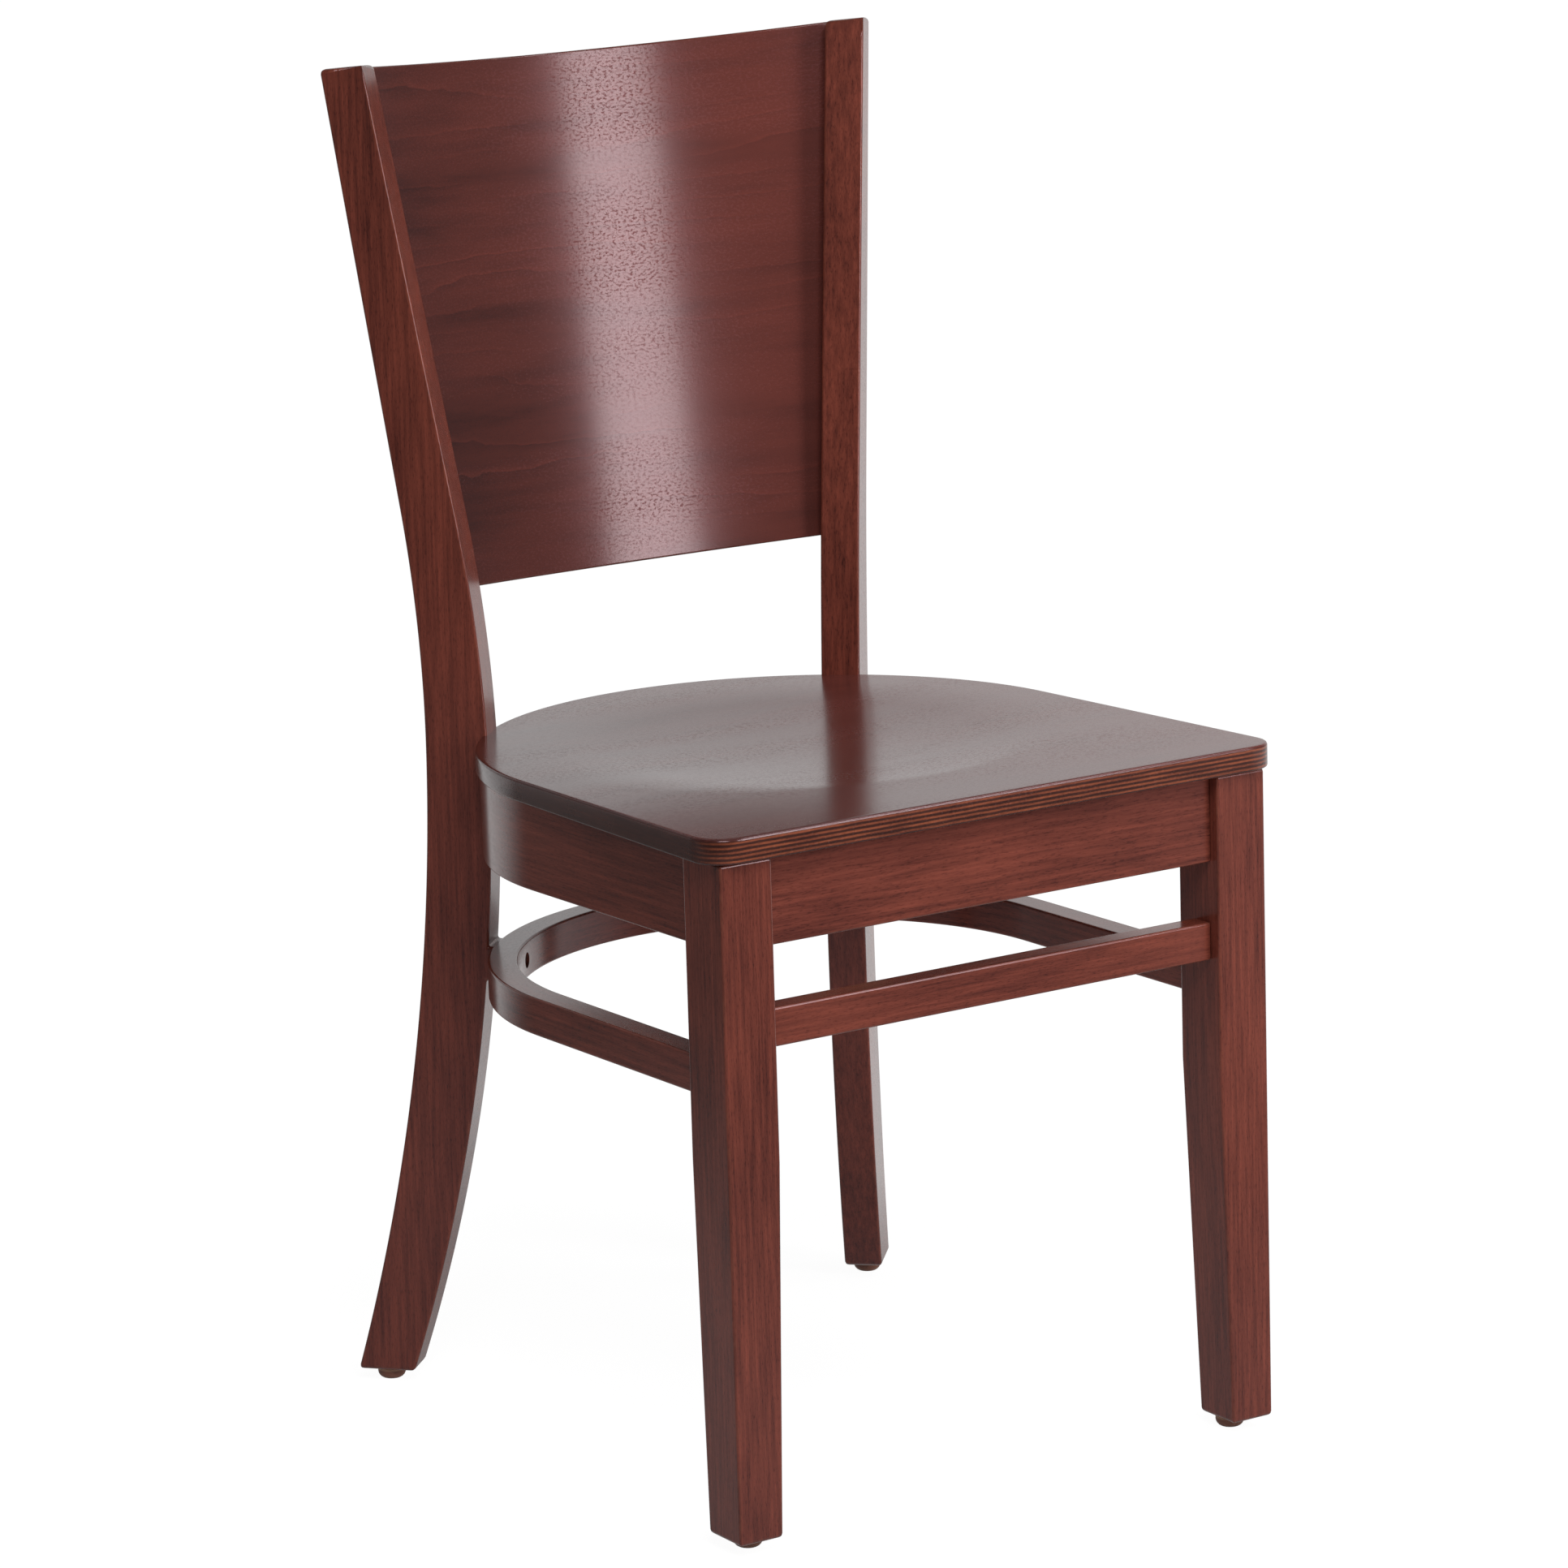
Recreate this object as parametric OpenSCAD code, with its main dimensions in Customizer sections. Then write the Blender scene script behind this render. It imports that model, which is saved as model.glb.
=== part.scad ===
// Dining chair with a solid bent back panel: a plywood seat on a bentwood frame, square front
// legs, and two sawn back posts that stand flat against the bent frames and hold the panel.
// X runs across the chair, the sitter looks along -Y, Z is up from the floor.
// Left and right are as seen from the front of the chair, so left is -X.
// Before centring, y = 0 is the front face of the front legs at the height of the seat.

/* [Seat] */
// Height of the seat's top at the front of the legs
seat_h = 460; // [430:1:500]
// Width of the seat at its front
seat_w = 438; // [420:1:480]
// Overhang of the seat beside the legs
seat_side = 8.5; // [6:0.5:16]
// Thickness of the seat board
seat_t = 16; // [14:0.5:24]
// Overhang of the seat in front of the legs
seat_nose = 6; // [2:0.5:15]
// Radius of the two front corners
seat_corner_r = 20; // [8:1:40]
// How much larger the seat's round back is than the bent frame's
seat_round = 5; // [0:0.5:6]
// How far the seat passes the bent frame at the back
seat_lap = 0.5; // [0:0.5:6]
// Fall of the seat and its frame towards the back, degrees
seat_pitch = 1; // [0:0.1:4]
// Further fall of the seat's top, which thins the board towards the back, degrees
seat_rake = 0.4; // [0:0.1:1]
// Depth of the dished top
dish_depth = 7; // [2:0.5:9]
// Radius of the dished top
dish_rim_r = 155; // [100:1:165]
// Distance from the legs' front face to the middle of the dish
dish_y = 222; // [205:1:240]

/* [Seat frame] */
// Set-in of the bent frames from the legs' outer faces
arm_inset = 6.5; // [2:0.5:9]
// Distance from the legs' front face to the middle of the bends
bend_y = 230; // [215:1:260]
// Height of the apron and the front rail
apron_h = 58; // [50:1:80]
// Thickness of both bent frames
bend_t = 19.7; // [16:0.1:24]
// Thickness of the front rail
rail_t = 20; // [16:0.5:24]
// Set-back of the front rail from the legs' front faces
rail_recess = 7; // [2:0.5:8]

/* [Stretchers] */
// Distance from the seat's top down to the front stretcher
stretcher_drop = 114; // [105:1:150]
// Height of the front stretcher
stretcher_h = 25; // [22:1:30]
// Thickness of the front stretcher
stretcher_t = 17; // [14:0.5:22]
// Set-back of the front stretcher
stretcher_recess = 8; // [2:0.5:12]
// Distance from the seat's top down to the lower bent ring
ring_drop = 145; // [135:1:200]
// Height of the lower bent ring
ring_h = 25; // [22:1:36]

/* [Front legs] */
// Width of a front leg
leg_w = 38.5; // [34:0.5:42]
// Depth of a front leg
leg_d = 41.5; // [38:0.5:46]
// How much the two inner faces of a leg run in at the floor
leg_taper = 6.5; // [0:0.5:10]
// Distance from the lower ring down to the start of the taper
leg_taper_gap = 40; // [10:1:80]

/* [Back posts] */
// Height of the back posts above the seat's top
back_rise = 432; // [400:1:470]
// Angle of the posts around the bends, from straight back, degrees
post_angle = 42.8; // [38:0.1:47]
// Width of a post across its sitter's side
post_w = 26.5; // [22:0.5:32]
// Depth of a post at its waist
post_d = 43; // [36:0.5:52]
// Distance from the middle of the bends forward to where the posts' directions meet
post_set = 5.5; // [0:0.5:10]
// How far the posts are let in over the apron
post_let_in = 2.2; // [0.8:0.1:4]
// Fall of the posts' sawn tops towards the back, degrees
post_top_fall = 7.5; // [0:0.5:15]
// Distance from the seat's top down to the waist of the inner face
waist_drop = 52; // [35:1:65]
// Radius of the inner face below its waist
inner_foot_r = 1265; // [1100:5:1500]
// Radius of the inner face above its waist
inner_back_r = 1030; // [900:5:1200]
// Distance from the inner face's waist up to where it runs on straight
inner_straight_rise = 184; // [150:1:215]
// Distance from the inner face's waist up to the outer face's
waist_gap = 33; // [17:1:45]
// Radius of the outer face below its waist
outer_foot_r = 1570; // [1400:5:1800]
// Radius of the outer face above its waist
outer_back_r = 1045; // [950:5:1200]
// Distance from the outer face's waist up to where it runs on straight
outer_straight_rise = 159; // [130:1:190]

/* [Back panel] */
// Radius of the panel's hollow front face
panel_r = 400; // [330:5:520]
// Thickness of the panel
panel_t = 8; // [6:0.5:9]
// Height of the panel along its lean
panel_h = 346; // [300:1:350]
// Distance from the seat's top up to the middle of the panel's lower edge
panel_rise = 79; // [70:1:90]
// Lean of the panel, degrees
panel_lean = 11.4; // [10.5:0.1:12]
// Set-back of the panel from the sitter's side of the posts, at its lower edge
panel_recess = 12; // [8:0.5:14]
// Depth of the grooves that hold the panel's ends
groove_d = 8; // [5:0.5:12]

/* [Joinery] */
// Diameter of the dowels in the rail and the apron
dowel_d = 10; // [8:0.5:11]
// Diameter of the dowels in the stretchers
thin_dowel_d = 8; // [6:0.5:8.5]
// Depth of a rail dowel in each piece
rail_dowel_in = 20; // [12:1:24]
// Wood left between crossing dowels in a leg
dowel_wall = 2; // [1:0.5:4]
// Height of the blocks inside the seat frame
block_h = 46; // [40:1:50]
// Reach of a front corner block along the frame, past the leg
block_reach = 55; // [45:1:70]
// Width of a rear block
rear_block_w = 60; // [54:1:80]
// Thickness of a rear block
rear_block_t = 24; // [18:1:32]

/* [Fasteners and glides] */
// Diameter of the bolts into the posts
bolt_d = 6; // [5:0.5:7]
// Diameter of the bolts' heads
bolt_head_d = 10; // [9:0.5:11]
// Height of the bolts' heads
bolt_head_h = 6; // [4:0.5:7]
// Distance between the two bolts of the apron at each post
bolt_spacing = 24; // [18:1:28]
// Depth of the hole for a bolt's head in the lower ring
counterbore_d = 8; // [7:0.5:10]
// Outer diameter of the threaded inserts
insert_d = 10; // [9:0.5:12]
// Length of the threaded inserts
insert_l = 15; // [10:1:20]
// Outer diameter of the washers
washer_d = 14; // [12:0.5:18]
// Thickness of the washers
washer_t = 1.5; // [1:0.1:2]
// Diameter of the seat screws
seat_screw_d = 4.5; // [3.5:0.5:6]
// Diameter of the lag screws through the front corner blocks
lag_d = 6; // [5:0.5:7]
// Depth of a lag screw in the leg
lag_in = 22; // [15:1:24]
// Diameter of the floor glides
glide_d = 19.2; // [15:0.2:24]
// Height of the floor glides
glide_h = 8; // [6:0.5:12]
// Rounding of a glide's lower edge
glide_ease = 2.5; // [1:0.5:3]
// Diameter of the nails in the glides
nail_d = 2.5; // [2:0.1:3.5]
// Depth of a nail in the wood
nail_in = 16; // [10:1:25]

/* [Hidden] */

// Colours
lit_wood = "#7a3a30";
shaded_wood = "#5c2c26";
plain_wood = "#c9a77a";
steel = "#a9acb0";
brass = "#b3945a";
plastic = "#4a3a33";

// Clearances and overruns
glue_gap = 0.1;
bolt_gap = 0.3;
seat_gap = 0.2;
overrun = 1;

// Heights and widths that follow the seat
back_h = seat_h + back_rise;
inner_waist_h = seat_h - waist_drop;
inner_straight_h = inner_waist_h + inner_straight_rise;
outer_waist_h = inner_waist_h + waist_gap;
outer_straight_h = outer_waist_h + outer_straight_rise;
panel_z = seat_h + panel_rise;
front_span = seat_w - 2 * seat_side;
reach = 2 * back_h;

// Facets of the large arcs and of the small rounds
arc_fn = 720;
round_fn = 64;

// Heights in the seat frame's own coordinates, where z = 0 is the seat's top
frame_top = -seat_t;
apron_mid = frame_top - apron_h / 2;
stretcher_mid = -stretcher_drop - stretcher_h / 2;
ring_mid = -ring_drop - ring_h / 2;
block_mid = frame_top - block_h / 2;
taper_top = -ring_drop - ring_h - leg_taper_gap;

// Plan of the seat frame
bend_r = front_span / 2 - arm_inset;
bend_in_r = bend_r - bend_t;
leg_out_x = front_span / 2;
leg_in_x = leg_out_x - leg_w;
rail_back_y = rail_recess + rail_t;
arm_mid_x = bend_r - bend_t / 2;

// Plan of the seat: the sides are the outer tangents of a corner and the back arc
seat_back_r = bend_r + seat_round;
seat_back_y = bend_y + bend_r + seat_lap - seat_back_r;
corner_x = seat_w / 2 - seat_corner_r;
corner_y = seat_corner_r - seat_nose;
side_run = [corner_x, corner_y - seat_back_y];
side_angle = atan2(side_run[1], side_run[0]) + acos((seat_back_r - seat_corner_r) / norm(side_run));
side_normal = [cos(side_angle), sin(side_angle)];
dish_ball_r = (pow(dish_rim_r, 2) + pow(dish_depth, 2)) / (2 * dish_depth);

// Dowels: each joint has two, this share of the bar's height above and below its middle
dowel_rise_share = 0.3;
thin_dowel_rise_share = 0.24;
dowel_rise = apron_h * dowel_rise_share;
thin_dowel_rise = stretcher_h * thin_dowel_rise_share;
ring_dowel_rise = ring_h * thin_dowel_rise_share;
arm_dowel_in = leg_d - rail_recess - rail_t / 2 - dowel_d / 2 - dowel_wall;
dowel_bevel = 1;

// Posts, in distances from the upright line where their directions meet
post_y = bend_y - post_set;
inner_u = face_at(inner_waist_h) - post_let_in;
outer_u = inner_u + post_d;
land_share = 0.25;
land_t = post_d * land_share;
land_margin = 1;

// The inner face of a post at a height
function inner_at(z) =
    let (
        rise = inner_straight_h - inner_waist_h,
        top_u = inner_u + inner_back_r - sqrt(pow(inner_back_r, 2) - pow(rise, 2)),
        lean = asin(rise / inner_back_r)
    )
    z < inner_waist_h
        ? inner_u + inner_foot_r - sqrt(pow(inner_foot_r, 2) - pow(inner_waist_h - z, 2))
    : z < inner_straight_h
        ? inner_u + inner_back_r - sqrt(pow(inner_back_r, 2) - pow(z - inner_waist_h, 2))
    : top_u + (z - inner_straight_h) * tan(lean);

// The foremost corner of a post's top, which is its highest
top_front_y = post_y + inner_at(back_h) * cos(post_angle) - post_w / 2 * sin(post_angle);

// The outer face of a post below its waist
function outer_at(z) = outer_u + outer_foot_r - sqrt(pow(outer_foot_r, 2) - pow(outer_waist_h - z, 2));

// Height above the floor of a point in the seat frame's coordinates, at a post's contact line
contact_y = bend_y + bend_r * cos(post_angle);
function level_z(frame_z) = seat_h - contact_y * sin(seat_pitch) + frame_z * cos(seat_pitch);

// Distance of the bent frames' outer face along a post's bolt, at a height above the floor
function axis_shift(z) =
    let (frame_z = (z - seat_h + bend_y * sin(seat_pitch)) / cos(seat_pitch))
    bend_y * cos(seat_pitch) + frame_z * sin(seat_pitch) - post_y;
function face_at(z) =
    let (shift = axis_shift(z))
    shift * cos(post_angle) + sqrt(pow(bend_r, 2) - pow(shift * sin(post_angle), 2));

// Panel: its front face meets a post's inner side at panel_recess behind the sitter's side
panel_edge_u = inner_at(panel_z) + panel_recess;
panel_edge_x = panel_edge_u * sin(post_angle) - post_w / 2 * cos(post_angle);
panel_edge_y = post_y + panel_edge_u * cos(post_angle) + post_w / 2 * sin(post_angle);
panel_sag = panel_r - sqrt(pow(panel_r, 2) - pow(panel_edge_x, 2));
panel_y = panel_edge_y + panel_sag * cos(panel_lean);

// Bolts: heights above the floor, and where each one's head bears
apron_bolt_mid = level_z(block_mid);
ring_bolt_z = level_z(ring_mid);
block_face_u = face_at(apron_bolt_mid) - bend_t - rear_block_t;
apron_bolt_l = rear_block_t + bend_t + insert_l - overrun;
ring_bolt_l = bend_t - counterbore_d + insert_l - overrun;
insert_sink = 1;
hex_share = 0.5;
hex_across = bolt_head_d * hex_share;
hex_depth = bolt_head_h * hex_share;

// Front corner blocks: the long face is cut at 45 degrees
corner_reach_y = leg_d + block_reach;
corner_reach_x = bend_in_r - (corner_reach_y - rail_back_y);
block_diagonal = [bend_in_r - corner_reach_x, corner_reach_y - rail_back_y];
block_face_mid = [corner_reach_x, rail_back_y] + block_diagonal / 2;
lag_start = (block_face_mid[0] + block_face_mid[1] - leg_in_x - leg_d) / 2;
lag_wood = (leg_in_x - leg_d - bend_in_r + corner_reach_y) / sqrt(2);
lag_head_shares = [5 / 3, 2 / 3];
lag_head_d = lag_d * lag_head_shares[0];
lag_head_h = lag_d * lag_head_shares[1];
lag_sink = lag_head_h + overrun;
lag_l = lag_wood - lag_sink + lag_in;

// Seat screws: in each block, a pair on both sides of its bolts or lag screw
seat_screw_share = 0.6;
block_grip_share = 0.65;
screw_head_shares = [2, 0.5];
front_spread_share = 0.4;
rear_spread_share = 1 / 3;
seat_screw_in = seat_t * seat_screw_share;
seat_screw_grip = block_h * block_grip_share;
seat_screw_l = seat_screw_grip + seat_screw_in;
screw_head_d = seat_screw_d * screw_head_shares[0];
screw_head_h = seat_screw_d * screw_head_shares[1];
front_screw_spread = block_reach * front_spread_share;
rear_screw_spread = rear_block_w * rear_spread_share;
front_screw_inset = screw_head_d;

// Glides
glide_x = leg_out_x - leg_w / 2;
glide_y = leg_d / 2 * cos(seat_pitch) - (seat_h - glide_h) * sin(seat_pitch);
glide_u = (inner_at(glide_h) + outer_at(glide_h)) / 2;
nail_head_shares = [2.4, 0.5];
nail_head_d = nail_d * nail_head_shares[0];
nail_head_h = nail_d * nail_head_shares[1];
nail_base = glide_h / 2;

// The middle of the chair from front to back
foot_front_y = -(seat_h - glide_h) * tan(seat_pitch);
nose_front_y = -seat_nose * cos(seat_pitch) - seat_t * sin(seat_pitch);
panel_rear_y = panel_y + panel_h * sin(panel_lean) + panel_t * cos(panel_lean);
middle_y = (min(foot_front_y, nose_front_y) + panel_rear_y) / 2;

// Moves the chair's middle onto the origin
module centred() {
    translate([0, -middle_y, 0]) children();
}

// The seat frame's own coordinates: square to the seat, which falls to the back
module pitched() {
    translate([0, 0, seat_h]) rotate([-seat_pitch, 0, 0]) children();
}

// Draws the children on the right, or mirrored on the left
module on_side(side) {
    if (side > 0) children();
    else mirror([1, 0, 0]) children();
}

// A post's own coordinates: X along its width, Y out from where the posts' directions meet, Z up
module at_post(side) {
    on_side(side) translate([0, post_y, 0]) rotate([0, 0, -post_angle]) children();
}

// A post's bolt line at a height, with Z along the bolt and out through the post
module at_bolt(side, z) {
    at_post(side) translate([0, 0, z]) rotate([-90, 0, 0]) children();
}

module at_apron_bolts() {
    for (side = [-1, 1], up = [-1, 1])
        at_bolt(side, apron_bolt_mid + up * bolt_spacing / 2) children();
}

module at_ring_bolts() {
    for (side = [-1, 1]) at_bolt(side, ring_bolt_z) children();
}

// Plan of both bent frames: a half ring with two straight arms that end at the legs
module bend_plan() {
    difference() {
        union() {
            translate([0, bend_y]) circle(r = bend_r, $fn = arc_fn);
            translate([-bend_r, leg_d]) square([2 * bend_r, bend_y - leg_d]);
        }
        translate([0, bend_y]) circle(r = bend_in_r, $fn = arc_fn);
        translate([-bend_in_r, -overrun]) square([2 * bend_in_r, bend_y + overrun]);
        translate([-bend_r, -bend_r]) square([2 * bend_r, leg_d + bend_r]);
    }
}

// Everything inside the outer face of the bends between two heights of the frame
module bend_core(radius, low, high) {
    pitched() translate([0, bend_y, low]) cylinder(h = high - low, r = radius, $fn = arc_fn);
}

module seat_plan() {
    half = [
        [corner_x, corner_y] + seat_corner_r * side_normal,
        [0, seat_back_y] + seat_back_r * side_normal
    ];
    intersection() {
        translate([0, seat_back_y]) circle(r = seat_back_r, $fn = arc_fn);
        translate([-reach, -seat_nose]) square([2 * reach, reach]);
    }
    for (side = [-1, 1]) translate([side * corner_x, corner_y]) circle(r = seat_corner_r, $fn = arc_fn);
    polygon([
        [-corner_x, -seat_nose], [corner_x, -seat_nose], half[0], half[1],
        [-half[1][0], half[1][1]], [-half[0][0], half[0][1]]
    ]);
}

// The hollow of the seat's top, part of a large ball
module dish() {
    translate([0, dish_y, 0]) rotate_extrude($fn = arc_fn) intersection() {
        translate([0, dish_ball_r - dish_depth]) circle(r = dish_ball_r, $fn = arc_fn);
        translate([0, -dish_depth]) square([dish_rim_r + overrun, dish_depth + overrun]);
    }
}

// A dowel with bevelled ends, and the bore that it sits in, both centred on a joint
module dowel(d, half_l) {
    for (end = [-1, 1]) translate([0, 0, end * (half_l - dowel_bevel / 2)])
        cylinder(
            h = dowel_bevel,
            r1 = end > 0 ? d / 2 : d / 2 - dowel_bevel / 2,
            r2 = end > 0 ? d / 2 - dowel_bevel / 2 : d / 2,
            center = true,
            $fn = round_fn
        );
    cylinder(h = 2 * (half_l - dowel_bevel), d = d, center = true, $fn = round_fn);
}

module dowel_bore(d, half_l) {
    cylinder(h = 2 * (half_l + glue_gap), d = d + 2 * glue_gap, center = true, $fn = round_fn);
}

// Joints of the two straight bars with the legs
module at_bar_joints(y, z, rise) {
    pitched() for (side = [-1, 1], up = [-1, 1])
        translate([side * leg_in_x, y, z + up * rise]) rotate([0, 90, 0]) children();
}

module at_rail_joints() {
    at_bar_joints(rail_recess + rail_t / 2, apron_mid, dowel_rise) children();
}

module at_stretcher_joints() {
    at_bar_joints(stretcher_recess + stretcher_t / 2, stretcher_mid, thin_dowel_rise) children();
}

// Joints of the bent frames' arms with the legs
module at_arm_joints(z, rise) {
    pitched() for (side = [-1, 1], up = [-1, 1])
        translate([side * arm_mid_x, leg_d, z + up * rise]) rotate([90, 0, 0]) children();
}

// Lag screw lines, with Z from the corner block's long face into the leg
module at_lag(side) {
    pitched() on_side(side)
        translate([block_face_mid[0] - lag_start, block_face_mid[1] - lag_start, apron_mid])
            rotate([0, 90, -45]) children();
}

// Seat screw lines, with Z up and z = 0 at the top of the seat frame
module at_front_seat_screws(side) {
    pitched() on_side(side) translate([block_face_mid[0], block_face_mid[1], frame_top])
        rotate([0, 0, -45]) for (end = [-1, 1])
            translate([front_screw_inset, end * front_screw_spread, 0]) children();
}

module at_rear_seat_screws(side) {
    pitched() at_post(side) for (end = [-1, 1])
        translate([end * rear_screw_spread, block_face_u + rear_block_t / 2, frame_top]) children();
}

module at_seat_screws() {
    for (side = [-1, 1]) {
        at_front_seat_screws(side) children();
        at_rear_seat_screws(side) children();
    }
}

module seat_screw_hole() {
    translate([0, 0, -block_h - overrun]) cylinder(
        h = block_h + overrun + seat_screw_in + glue_gap,
        d = seat_screw_d + 2 * glue_gap,
        $fn = round_fn
    );
    translate([0, 0, -block_h - overrun])
        cylinder(h = block_h + overrun - seat_screw_grip, d = screw_head_d + 2 * bolt_gap, $fn = round_fn);
}

// Clearance hole for a bolt, through everything inside the posts' contact line
module bolt_hole(z) {
    translate([0, 0, block_face_u - overrun])
        cylinder(h = face_at(z) - block_face_u + 2 * overrun, d = bolt_d + 2 * bolt_gap, $fn = round_fn);
}

module bolt(bearing_u, shank_l) {
    difference() {
        union() {
            translate([0, 0, bearing_u - bolt_head_h])
                cylinder(h = bolt_head_h, d = bolt_head_d, $fn = round_fn);
            translate([0, 0, bearing_u]) cylinder(h = shank_l, d = bolt_d, $fn = round_fn);
        }
        translate([0, 0, bearing_u - bolt_head_h - overrun])
            cylinder(h = hex_depth + overrun, d = hex_across, $fn = 6);
    }
}

// Side view of a post's face: all that lies outward of it
module bow(u, waist_h, foot_r, back_r, straight_h) {
    rise = straight_h - waist_h;
    bend_u = u + back_r - sqrt(pow(back_r, 2) - pow(rise, 2));
    top_u = bend_u + (back_h + overrun - straight_h) * rise / sqrt(pow(back_r, 2) - pow(rise, 2));
    intersection() {
        translate([u + foot_r, waist_h]) circle(r = foot_r, $fn = arc_fn);
        translate([u, -overrun]) square([foot_r, waist_h + overrun]);
    }
    intersection() {
        translate([u + back_r, waist_h]) circle(r = back_r, $fn = arc_fn);
        translate([u, waist_h]) square([back_r, rise]);
    }
    polygon([
        [bend_u, straight_h], [u + back_r, straight_h],
        [u + back_r, back_h + overrun], [top_u, back_h + overrun]
    ]);
}

// Side view of a post, with the land that carries it on the lower ring
module post_profile() {
    land_low = level_z(-ring_drop - ring_h) + land_margin;
    land_high = level_z(-ring_drop) - land_margin;
    difference() {
        union() {
            intersection() {
                bow(inner_u, inner_waist_h, inner_foot_r, inner_back_r, inner_straight_h);
                translate([0, glide_h]) square([outer_u + inner_u, back_h - glide_h]);
            }
            translate([inner_u - land_t, land_low]) square([land_t + post_d, land_high - land_low]);
        }
        bow(outer_u, outer_waist_h, outer_foot_r, outer_back_r, outer_straight_h);
    }
}

// The bent panel, grown all round for the grooves in the posts
module panel_shape(grow) {
    intersection() {
        translate([0, panel_y, panel_z]) rotate([-panel_lean, 0, 0]) translate([0, -panel_r, -grow])
            linear_extrude(panel_h + 2 * grow) intersection() {
                difference() {
                    circle(r = panel_r + panel_t + grow, $fn = arc_fn);
                    circle(r = panel_r - grow, $fn = arc_fn);
                }
                translate([-reach, 0]) square([2 * reach, reach]);
            }
        at_post(1) translate([-reach, -reach, 0])
            cube([reach - post_w / 2 + groove_d + grow, 2 * reach, reach]);
        at_post(-1) translate([-reach, -reach, 0])
            cube([reach - post_w / 2 + groove_d + grow, 2 * reach, reach]);
    }
}

module seat() {
    color(lit_wood) centred() difference() {
        pitched() difference() {
            translate([0, 0, -seat_t]) linear_extrude(seat_t) seat_plan();
            rotate([-seat_rake, 0, 0]) {
                dish();
                translate([-reach, 0, 0]) cube([2 * reach, reach, reach]);
            }
        }
        for (side = [-1, 1]) at_post(side)
            translate([-post_w / 2 - seat_gap, inner_at(level_z(frame_top)) - seat_gap, 0])
                cube([post_w + 2 * seat_gap, post_d, back_h]);
        at_seat_screws() seat_screw_hole();
    }
}

module apron() {
    color(shaded_wood) centred() difference() {
        pitched() translate([0, 0, frame_top - apron_h]) linear_extrude(apron_h) bend_plan();
        at_arm_joints(apron_mid, dowel_rise) dowel_bore(dowel_d, arm_dowel_in);
        at_apron_bolts() bolt_hole(apron_bolt_mid);
    }
}

module stretcher_ring() {
    color(shaded_wood) centred() difference() {
        pitched() translate([0, 0, -ring_drop - ring_h]) linear_extrude(ring_h) bend_plan();
        at_arm_joints(ring_mid, ring_dowel_rise) dowel_bore(thin_dowel_d, arm_dowel_in);
        at_ring_bolts() {
            bolt_hole(ring_bolt_z);
            translate([0, 0, block_face_u]) cylinder(
                h = face_at(ring_bolt_z) - block_face_u - bend_t + counterbore_d,
                d = bolt_head_d + 2 * bolt_gap,
                $fn = round_fn
            );
        }
    }
}

module front_rail() {
    color(lit_wood) centred() difference() {
        pitched() translate([-leg_in_x, rail_recess, frame_top - apron_h])
            cube([2 * leg_in_x, rail_t, apron_h]);
        at_rail_joints() dowel_bore(dowel_d, rail_dowel_in);
    }
}

module front_stretcher() {
    color(lit_wood) centred() difference() {
        pitched() translate([-leg_in_x, stretcher_recess, -stretcher_drop - stretcher_h])
            cube([2 * leg_in_x, stretcher_t, stretcher_h]);
        at_stretcher_joints() dowel_bore(thin_dowel_d, rail_dowel_in);
    }
}

// A square leg whose two inner faces run in towards the floor
module front_leg(side) {
    color(lit_wood) centred() difference() {
        pitched() on_side(side) intersection() {
            translate([0, leg_d, 0]) rotate([90, 0, 0]) linear_extrude(leg_d) polygon([
                [leg_in_x, frame_top], [leg_in_x, taper_top], [leg_in_x + leg_taper, -seat_h - overrun],
                [leg_out_x, -seat_h - overrun], [leg_out_x, frame_top]
            ]);
            rotate([90, 0, 90]) linear_extrude(leg_out_x) polygon([
                [0, frame_top], [0, -seat_h - overrun], [leg_d - leg_taper, -seat_h - overrun],
                [leg_d, taper_top], [leg_d, frame_top]
            ]);
        }
        translate([-reach, -reach, glide_h - reach]) cube([2 * reach, 2 * reach, reach]);
        at_rail_joints() dowel_bore(dowel_d, rail_dowel_in);
        at_stretcher_joints() dowel_bore(thin_dowel_d, rail_dowel_in);
        at_arm_joints(apron_mid, dowel_rise) dowel_bore(dowel_d, arm_dowel_in);
        at_arm_joints(ring_mid, ring_dowel_rise) dowel_bore(thin_dowel_d, arm_dowel_in);
        at_lag(side) cylinder(h = lag_wood + lag_in + glue_gap, d = lag_d + 2 * glue_gap, $fn = round_fn);
        at_glides() nail(glue_gap);
    }
}

// A plank sawn to two curves, let in over the seat frame and seated on the lower ring
module back_post(side) {
    color(shaded_wood) centred() difference() {
        at_post(side) rotate([90, 0, 90]) linear_extrude(post_w, center = true) post_profile();
        translate([-reach, top_front_y, back_h]) rotate([-post_top_fall, 0, 0])
            translate([0, -post_w, 0]) cube([2 * reach, reach, reach]);
        bend_core(bend_r + glue_gap, frame_top - apron_h - seat_gap, frame_top);
        bend_core(bend_r + glue_gap, -ring_drop - ring_h - seat_gap, -ring_drop + seat_gap);
        panel_shape(glue_gap);
        at_apron_bolts() insert_bore(apron_bolt_mid);
        at_ring_bolts() insert_bore(ring_bolt_z);
        at_glides() nail(glue_gap);
    }
}

module back_panel() {
    color(lit_wood) centred() panel_shape(0);
}

module insert_bore(z) {
    translate([0, 0, face_at(z) - overrun]) cylinder(
        h = insert_sink + insert_l + overrun + glue_gap,
        d = insert_d + 2 * glue_gap,
        $fn = round_fn
    );
}

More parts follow.
